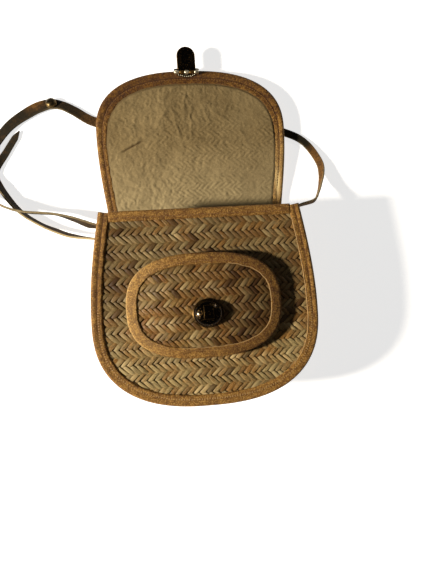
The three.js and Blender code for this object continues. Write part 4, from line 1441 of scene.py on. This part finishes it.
def makeLining():
    press = liningPress
    shape = insetShape(flapShape, bag["bindingWide"] - liningCut["tuck"])
    rows = np.linspace(-liningCut["inBag"], shape["reach"] - liningCut["tipGap"], liningCut["rows"])
    onFlap = halfWidth(shape, np.maximum(rows, 0))
    half = liningCut["bagHalf"] + (onFlap - liningCut["bagHalf"]) * fade(rows, liningCut["mouthSpan"])
    x = half[:, None] * np.linspace(-1, 1, liningCut["columns"])[None]
    y = rows[:, None] + 0 * x
    bottom = backHeight(x, y) + bag["woven"] / 2 + bag["gap"]
    shiftX, shiftY = (far * softNoise(x / wide, y / long, seed) for far, wide, long, seed in liningWander)
    relief = plaitRelief(x + shiftX, y + shiftY)
    past = pastBinding(x, y)
    patchy = 0.5 + 0.5 * softNoise(x / press["patchWide"], y / press["patchLong"], press["patchSeed"])
    right = fade(x, press["leftSpan"]) * fade(y, press["tipSpan"])
    shown = fade(y, press["mouthSpan"]) * (press["least"] + (1 - press["least"]) * right) * patchy
    slit, lip = slitShares(x, y)
    raised = fade(past, press["edgeSpan"]) * (press["high"] * relief * shown + liningFolds(x, y))
    top = bottom + liningCut["thick"] + raised - liningSlit["deep"] * slit + liningSlit["lip"] * lip
    top = np.maximum(top, bottom + liningCut["least"])
    points = np.concatenate([np.stack([x, y, z], -1).reshape(-1, 3) for z in (top, bottom)])
    # painted shade in the pressed hollows between the plait's strands, in the slit and along the binding's
    # edge
    pressed = np.clip(press["hollowShade"] * (1 - relief), 0, press["hollowMost"]) * shown
    border = press["border"] * np.clip(1 - past / press["borderRun"], 0, 1) * (y > press["borderFrom"])
    hollowShade = np.clip(pressed + slit + border, 0, 1).ravel()
    hollowShades = {"hollowShade": np.concatenate([hollowShade, 0 * hollowShade])}
    mesh = makeMesh("flapLining", points, sheetFaces(*x.shape), hollowShades)
    piece = makePiece("flapLining", outwards(mesh), lining, replaced=["flap_lining"])


makeLining()
print("lining laid")


# Lock and clasp

# the lock's rim is worn all round, and paler on its left side as a painted highlight towards the lamp
lock = {
    "y": -104, "foot": 15.1, "squash": 0.93, "flange": 0.8, "rim": 1.2, "tall": 10, "seat": 0.3,
    "chamfer": 0.3, "rimDrop": 0.4, "rimOut": 0.1, "rimRise": 0.04, "domeFrom": 8, "domeStep": 5.1,
    "around": 72, "bevel": 0.5, "worn": 0.12, "paintedLeftHighlight": 0.3, "leftOf": -6, "wornSpan": (0.9, 0.95),
}
lockSlot = {"wide": 21.5, "deep": 20.8, "low": 1.5, "high": 5.9}
# the last two numbers paint reflection lines round the slide's edges
lockButton = {
    "wide": 9.4, "top": 7.9, "bottom": -5.5, "floor": 7, "travel": 3, "proud": 1.03, "clear": 0.3,
    "spare": 0.3, "above": 30, "worn": 0.62, "edgeLightRun": 0.45,
}
lockBase = float(pocketHeight(0, lock["y"])) + pocket["woven"] / 2 + lock["seat"]
sharpAngle, bevelAngle, bevelSteps = 38, 32, 2


def crisp(mesh):
    smooth(mesh).set_sharp_from_angle(angle=math.radians(sharpAngle))
    return mesh


def meshObject(name, points, faces):
    thing = bpy.data.objects.new(name, outwards(makeMesh(name, points, faces)))
    scene.collection.objects.link(thing)
    return thing


def boxObject(name, low, high):
    points = [(x, y, z) for x in (low[0], high[0]) for y in (low[1], high[1]) for z in (low[2], high[2])]
    faces = [(0, 1, 3, 2), (4, 6, 7, 5), (0, 4, 5, 1), (2, 3, 7, 6), (0, 2, 6, 4), (1, 5, 7, 3)]
    return meshObject(name, np.array(points, float), faces)


def carved(thing, cutters, bevel):
    # boolean cuts or joins, softened edges, then a plain mesh
    for cutter, operation in cutters:
        step = thing.modifiers.new("cut", "BOOLEAN")
        step.object = cutter
        step.operation = operation
        step.solver = "EXACT"
    soft = thing.modifiers.new("soft", "BEVEL")
    soft.width = bevel * mm
    soft.segments = bevelSteps
    soft.limit_method = "ANGLE"
    soft.angle_limit = math.radians(bevelAngle)
    soft.harden_normals = False
    graph = bpy.context.evaluated_depsgraph_get()
    mesh = bpy.data.meshes.new_from_object(thing.evaluated_get(graph))
    for used in (thing, *(cutter for cutter, operation in cutters)):
        bpy.data.objects.remove(used)
    return crisp(mesh)


def markWearAndHighlight(mesh, shareAt):
    # marks where the metal's finish has worn through, and where a highlight is painted on
    x, y, z = (vertexPlaces(mesh) - (0, bag["mouthY"], 0)).T
    return mark(mesh, {"wearAndHighlight": np.clip(shareAt(x, y, z), 0, 1)})


def lockDome(name, proud):
    points, faces = lathe(domeProfile(lock), lock["around"])
    return meshObject(name, points * (1, lock["squash"], proud) + (0, lock["y"], lockBase), faces)


def lockBox(name, low, high):
    shift = np.array([0, lock["y"], lockBase])
    return boxObject(name, np.array(low) + shift, np.array(high) + shift)


# an even worn rim, with a painted highlight on its left side
def lockCaseWearAndHighlight(x, y, z):
    far = np.hypot(x, (y - lock["y"]) / lock["squash"]) / lock["foot"]
    return (lock["worn"] + lock["paintedLeftHighlight"] * (x < lock["leftOf"])) * fade(far, lock["wornSpan"])


# painted reflections: brassy lines along the slide's edges
def lockSlidePaintedEdges(x, y, z):
    beside = lockButton["wide"] / 2 - np.abs(x)
    above, below = lock["y"] + lockButton["top"] - y, y - lock["y"] - lockButton["bottom"]
    return lockButton["worn"] - np.minimum(beside, np.minimum(above, below)) / lockButton["edgeLightRun"]


def makeLock():
    slotHalf, half, clear = lockSlot["wide"] / 2, lockButton["wide"] / 2, lockButton["clear"]
    top, bottom, floor, above = (lockButton[key] for key in ("top", "bottom", "floor", "above"))
    slot = lockBox("slot", (-slotHalf, lock["foot"] - lockSlot["deep"], lockSlot["low"]),
                   (slotHalf, 2 * lock["foot"], lockSlot["high"]))
    lowest = bottom - lockButton["travel"] - clear - lockButton["spare"]
    recess = lockBox("recess", (-half - clear, lowest, floor), (half + clear, top + clear, above))
    case = carved(lockDome("lockCase", 1), [(slot, "DIFFERENCE"), (recess, "DIFFERENCE")], lock["bevel"])
    makePiece("lockCase", markWearAndHighlight(case, lockCaseWearAndHighlight), gunmetal, replaced=["lock_case"])
    keep = lockBox("keep", (-half, bottom, floor + clear), (half, top, above))
    slide = carved(lockDome("lockSlide", lockButton["proud"]), [(keep, "INTERSECT")], lock["bevel"])
    makePiece("lockSlide", markWearAndHighlight(slide, lockSlidePaintedEdges), gunmetal, body="thumb_slide",
              replaced=["lock_button"])


makeLock()

clasp = {
    "x": -2, "half": 13.6, "grip": 8.3, "sheet": 1, "lip": 0.7, "lipTimes": 1.05, "smile": 4.6,
    "cornerCut": 0.5, "stations": 25, "back": 3.9, "above": 2.5, "knuckles": 5, "radius": 2.1, "neck": 1.25,
    "beadPower": 2.6, "beadSteps": 9, "beadShare": 0.9, "around": 24, "pin": 0.8, "pinShort": 0.3,
    "bore": 1.1, "rodAround": 16, "footIn": 0.5, "footBack": 1.6, "footAhead": 1.2, "footSink": 0.5,
    "bevel": 0.22, "wornFrom": 0.7, "wornTo": 1.3, "rowIn": 0.9, "rowUp": 0.1, "rowShort": 1, "rowPoints": 30,
}
tongue = {
    "half": 10, "near": 2.5, "tip": 27.6, "thick": 2.6, "dome": 1.3, "corner": 0.8, "tipSteps": 33,
    "middleBack": 4, "domeSink": 0.5, "armIn": 0.3, "armUp": 0.2, "armAhead": 1.2, "bevel": 0.18,
}
# share of the outline, height above the tongue's lower face
tongueFoot = [(0.93, 0), (0.985, 0.35), (1.0, 0.8)]
# share of the outline, height above the tongue's rim
tongueTop = [
    (1.0, -0.1), (0.97, 0.4), (0.91, 0.55), (0.85, 0.35), (0.8, 0.1), (0.62, 0.25), (0.46, 0.8), (0.36, 1.15),
    (0.2, 1.28),
]
tongueWorn = {
    "rim": 0.95, "rimSpan": (0.9, 0.95), "shoulder": 0.25, "shoulderAt": 0.62, "shoulderHalf": 0.05,
    "from": 1, "knuckles": 0.75, "knucklesTo": 1.4,
}
tipLevel = backLevel + bag["flapLift"]
clipTop = tipLevel + bindingHalf + bag["gap"] + clasp["sheet"]
axisY = flapShape["reach"] - clasp["back"]
axisZ = clipTop + clasp["above"]


def onHinge(points, start):
    # lays a lathed shape along the hinge, its origin at start
    return np.column_stack([points[:, 2] + start + clasp["x"], points[:, 0] + axisY, points[:, 1] + axisZ])


def hingeRod(name, radius, short):
    long = 2 * clasp["half"] - 2 * short
    points, faces = lathe([(0, 0), (radius, 0), (radius, long), (0, long)], clasp["rodAround"])
    return meshObject(name, onHinge(points, short - clasp["half"]), faces)


def knuckleSpan(index):
    wide = 2 * clasp["half"] / clasp["knuckles"]
    start = -clasp["half"] + index * wide
    return start + bag["gap"] / 2, start + wide - bag["gap"] / 2


def knuckleBead(index):
    # a bead-shaped knuckle
    start, end = knuckleSpan(index)
    half, neck = (end - start) / 2, clasp["neck"]
    profile = [(0, -half), (neck, -half)]
    for t in np.linspace(-clasp["beadShare"], clasp["beadShare"], clasp["beadSteps"]):
        swell = math.sqrt(1 - abs(t) ** clasp["beadPower"])
        profile.append((neck + (clasp["radius"] - neck) * swell, half * t))
    points, faces = lathe(profile + [(neck, half), (0, half)], clasp["around"])
    return meshObject("bead", onHinge(points, (start + end) / 2), faces)


def knuckleBlock(name, index, inwards, low, high):
    # a block between a knuckle's ends; low and high are y and z
    start, end = (clasp["x"] + side for side in knuckleSpan(index))
    return boxObject(name, (start + inwards, *low), (end - inwards, *high))


def clipWorn(x, y, z):
    return fade(z - clipTop, (clasp["wornFrom"], clasp["wornTo"]))


def makeClaspPlate():
    outY, inY = flapShape["reach"] + bag["gap"], flapShape["reach"] - clasp["grip"]
    low, high = tipLevel - bindingHalf - bag["gap"], tipLevel + bindingHalf + bag["gap"]
    sheet = clasp["sheet"]
    points = []
    for t in np.linspace(-1, 1, clasp["stations"]):
        near = inY + clasp["smile"] * t ** 2
        far = outY + sheet - clasp["cornerCut"] * t ** 6
        lip = high + sheet + clasp["lip"] * (clasp["lipTimes"] - t ** 2)
        section = [
            (near, high), (outY, high), (outY, low), (inY, low), (inY, low - sheet), (far, low - sheet),
            (far, lip), (outY, lip), (outY, high + sheet), (near, high + sheet)]
        points += [(t * clasp["half"] + clasp["x"], y, z) for y, z in section]
    clip = meshObject("clip", points, ringFaces(clasp["stations"], len(section), False))
    parts = []
    for index in range(0, clasp["knuckles"], 2):
        footLow = (axisY - clasp["footBack"], clipTop - clasp["footSink"])
        foot = knuckleBlock("foot", index, clasp["footIn"], footLow, (axisY + clasp["footAhead"], axisZ))
        parts += [(foot, "UNION"), (knuckleBead(index), "UNION")]
    parts.append((hingeRod("pin", clasp["pin"], clasp["pinShort"]), "UNION"))
    mesh = markWearAndHighlight(carved(clip, parts, clasp["bevel"]), clipWorn)
    makePiece("claspClip", mesh, clipMetal, replaced=["clasp_plate"])
    reach = clasp["half"] - clasp["rowShort"]
    row = []
    for x in np.linspace(-reach, reach, clasp["rowPoints"]):
        y = inY + clasp["rowIn"] + clasp["smile"] * (x / clasp["half"]) ** 2
        row.append((x + clasp["x"], y, high + sheet + clasp["rowUp"]))
    makeRow("claspBeads", [row], paleMetal)


def tongueOutline():
    half, near, tip, corner = (tongue[key] for key in ("half", "near", "tip", "corner"))
    turns = np.linspace(0, np.pi, tongue["tipSteps"])
    rounded = [(half * math.cos(t), tip - half + half * math.sin(t)) for t in turns]
    foot = [(-half, near + corner), (-half + corner, near), (half - corner, near)]
    return np.array([(half, near + corner), *rounded, *foot])


def tongueShareWorn(x, y, z):
    # the rim and the shoulder of the dome are worn
    worn, half = tongueWorn, tongue["half"]
    up = np.maximum(0, y - axisY - tongue["tip"] + half)
    far = np.hypot(x - clasp["x"], up) / half
    shoulder = worn["shoulder"] * np.exp(-((far - worn["shoulderAt"]) / worn["shoulderHalf"]) ** 2)
    rim = worn["rim"] * fade(far, worn["rimSpan"]) + shoulder
    knuckles = worn["knuckles"] * (y < axisY + worn["knucklesTo"])
    return np.where(y > axisY + tongue["near"] + worn["from"], rim, knuckles)


def makeTongue():
    # a bullet-shaped plate with a domed upper face
    near, thick = tongue["near"], tongue["thick"]
    outline = tongueOutline()
    middle = np.array([0, (near + tongue["tip"] - tongue["middleBack"]) / 2])
    low, high = axisZ - thick / 2, axisZ + thick / 2 - tongue["domeSink"]
    levels = [(share, low + up) for share, up in tongueFoot] + [(share, high + up) for share, up in tongueTop]
    rings = [[(*(middle + (p - middle) * share), z) for p in outline] for share, z in levels]
    points, faces = stacked([[(*middle, low)], *rings, [(*middle, high + tongue["dome"])]])
    plate = meshObject("tonguePlate", points + (clasp["x"], axisY, 0), faces)
    parts = []
    for index in range(1, clasp["knuckles"], 2):
        armHigh = (axisY + near + tongue["armAhead"], high + tongue["armUp"])
        arm = knuckleBlock("arm", index, tongue["armIn"], (axisY, low + tongue["armUp"]), armHigh)
        parts += [(arm, "UNION"), (knuckleBead(index), "UNION")]
    parts.append((hingeRod("bore", clasp["bore"], 0), "DIFFERENCE"))
    mesh = markWearAndHighlight(carved(plate, parts, tongue["bevel"]), tongueShareWorn)
    makePiece("claspTongue", mesh, gunmetal, body="tongue", replaced=["clasp_tongue"])


makeClaspPlate()
makeTongue()
print("lock and clasp made")


# Small leather strips that keep the part's own shape

strip = {
    "weld": 0.001, "flatAngle": 2, "cornerAngle": 40, "round": 0.45, "steps": 3, "profile": 0.6,
    "sortAlong": (1, 0.618, 0.371),
}


def softStrip(name, node, material):
    # the strip in the node's own place, with rounded edges
    work = bmesh.new()
    work.from_mesh(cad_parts[node].data)
    bmesh.ops.remove_doubles(work, verts=work.verts, dist=strip["weld"] * mm)
    flat = math.radians(strip["flatAngle"])
    bmesh.ops.dissolve_limit(work, angle_limit=flat, verts=work.verts, edges=work.edges)
    corners = [edge for edge in work.edges if edge.calc_face_angle(0) > math.radians(strip["cornerAngle"])]
    bmesh.ops.bevel(work, geom=corners, offset=strip["round"] * mm, segments=strip["steps"],
                    profile=strip["profile"], affect="EDGES", clamp_overlap=True)
    bmesh.ops.triangulate(work, faces=work.faces)
    # a fixed order of points and faces, the same in every run
    way = Vector(strip["sortAlong"])
    work.verts.sort(key=lambda vert: vert.co.dot(way))
    work.faces.sort(key=lambda face: face.calc_center_median().dot(way))
    mesh = bpy.data.meshes.new(name)
    work.to_mesh(mesh)
    work.free()
    return makePiece(name, crisp(mesh), material, replaced=[node])


softStrip("gussetEdgeLeft", "gusset_edge_left", binding)
softStrip("gussetEdgeRight", "gusset_edge_right", binding)
softStrip("strapKeeper", "strap_loop", strapHide)
print("strips rounded")


# Floor and light, in metres

studio = {
    "floorHalf": 3.0, "floorDrop": 0.0004, "floorColour": (0.8, 0.79, 0.77, 1), "floorRough": 0.9,
    "floorGlow": 0.72, "lampFar": 1.6, "fill": 0.042, "fillColour": (1.0, 0.98, 0.95, 1),
}
# name, turn from the left towards the top, lift, size, watts, colour
studioLamps = [
    ("key", -8, 30, 0.14, 50, (1.0, 0.93, 0.82)),
    ("glint", 138, 27, 0.06, 1.6, (1.0, 0.97, 0.92)),
]


def makeFloor():
    half, drop = studio["floorHalf"], studio["floorDrop"]
    mesh = bpy.data.meshes.new("floor")
    corners = [(-half, -half), (half, -half), (half, half), (-half, half)]
    mesh.from_pydata([(x, y, -drop) for x, y in corners], [], [(0, 1, 2, 3)])
    material, tree, shader = newMaterial("paleFloor")
    setInputs(tree, shader, {
        "Base Color": studio["floorColour"], "Roughness": studio["floorRough"],
        "Emission Color": (1, 1, 1, 1), "Emission Strength": studio["floorGlow"]})
    mesh.materials.append(material)
    floor = bpy.data.objects.new("floor", mesh)
    scene.collection.objects.link(floor)


def makeLights():
    for name, turn, lift, size, watts, colour in studioLamps:
        lamp = bpy.data.lights.new(name, "AREA")
        lamp.shape = "DISK"
        lamp.size = size
        lamp.energy = watts
        lamp.color = colour
        holder = bpy.data.objects.new(name, lamp)
        turn, lift = math.radians(turn), math.radians(lift)
        away = Vector((-math.cos(lift) * math.cos(turn), math.cos(lift) * math.sin(turn), math.sin(lift)))
        facing = away.to_track_quat("Z", "Y").to_matrix().to_4x4()
        holder.matrix_world = Matrix.Translation(away * studio["lampFar"]) @ facing
        scene.collection.objects.link(holder)
    scene.world = bpy.data.worlds.new("studio")
    scene.world.use_nodes = True
    sky = scene.world.node_tree.nodes["Background"]
    sky.inputs["Color"].default_value = studio["fillColour"]
    sky.inputs["Strength"].default_value = studio["fill"]
    scene.view_settings.view_transform = "Standard"


makeFloor()
makeLights()
print("studio lit")
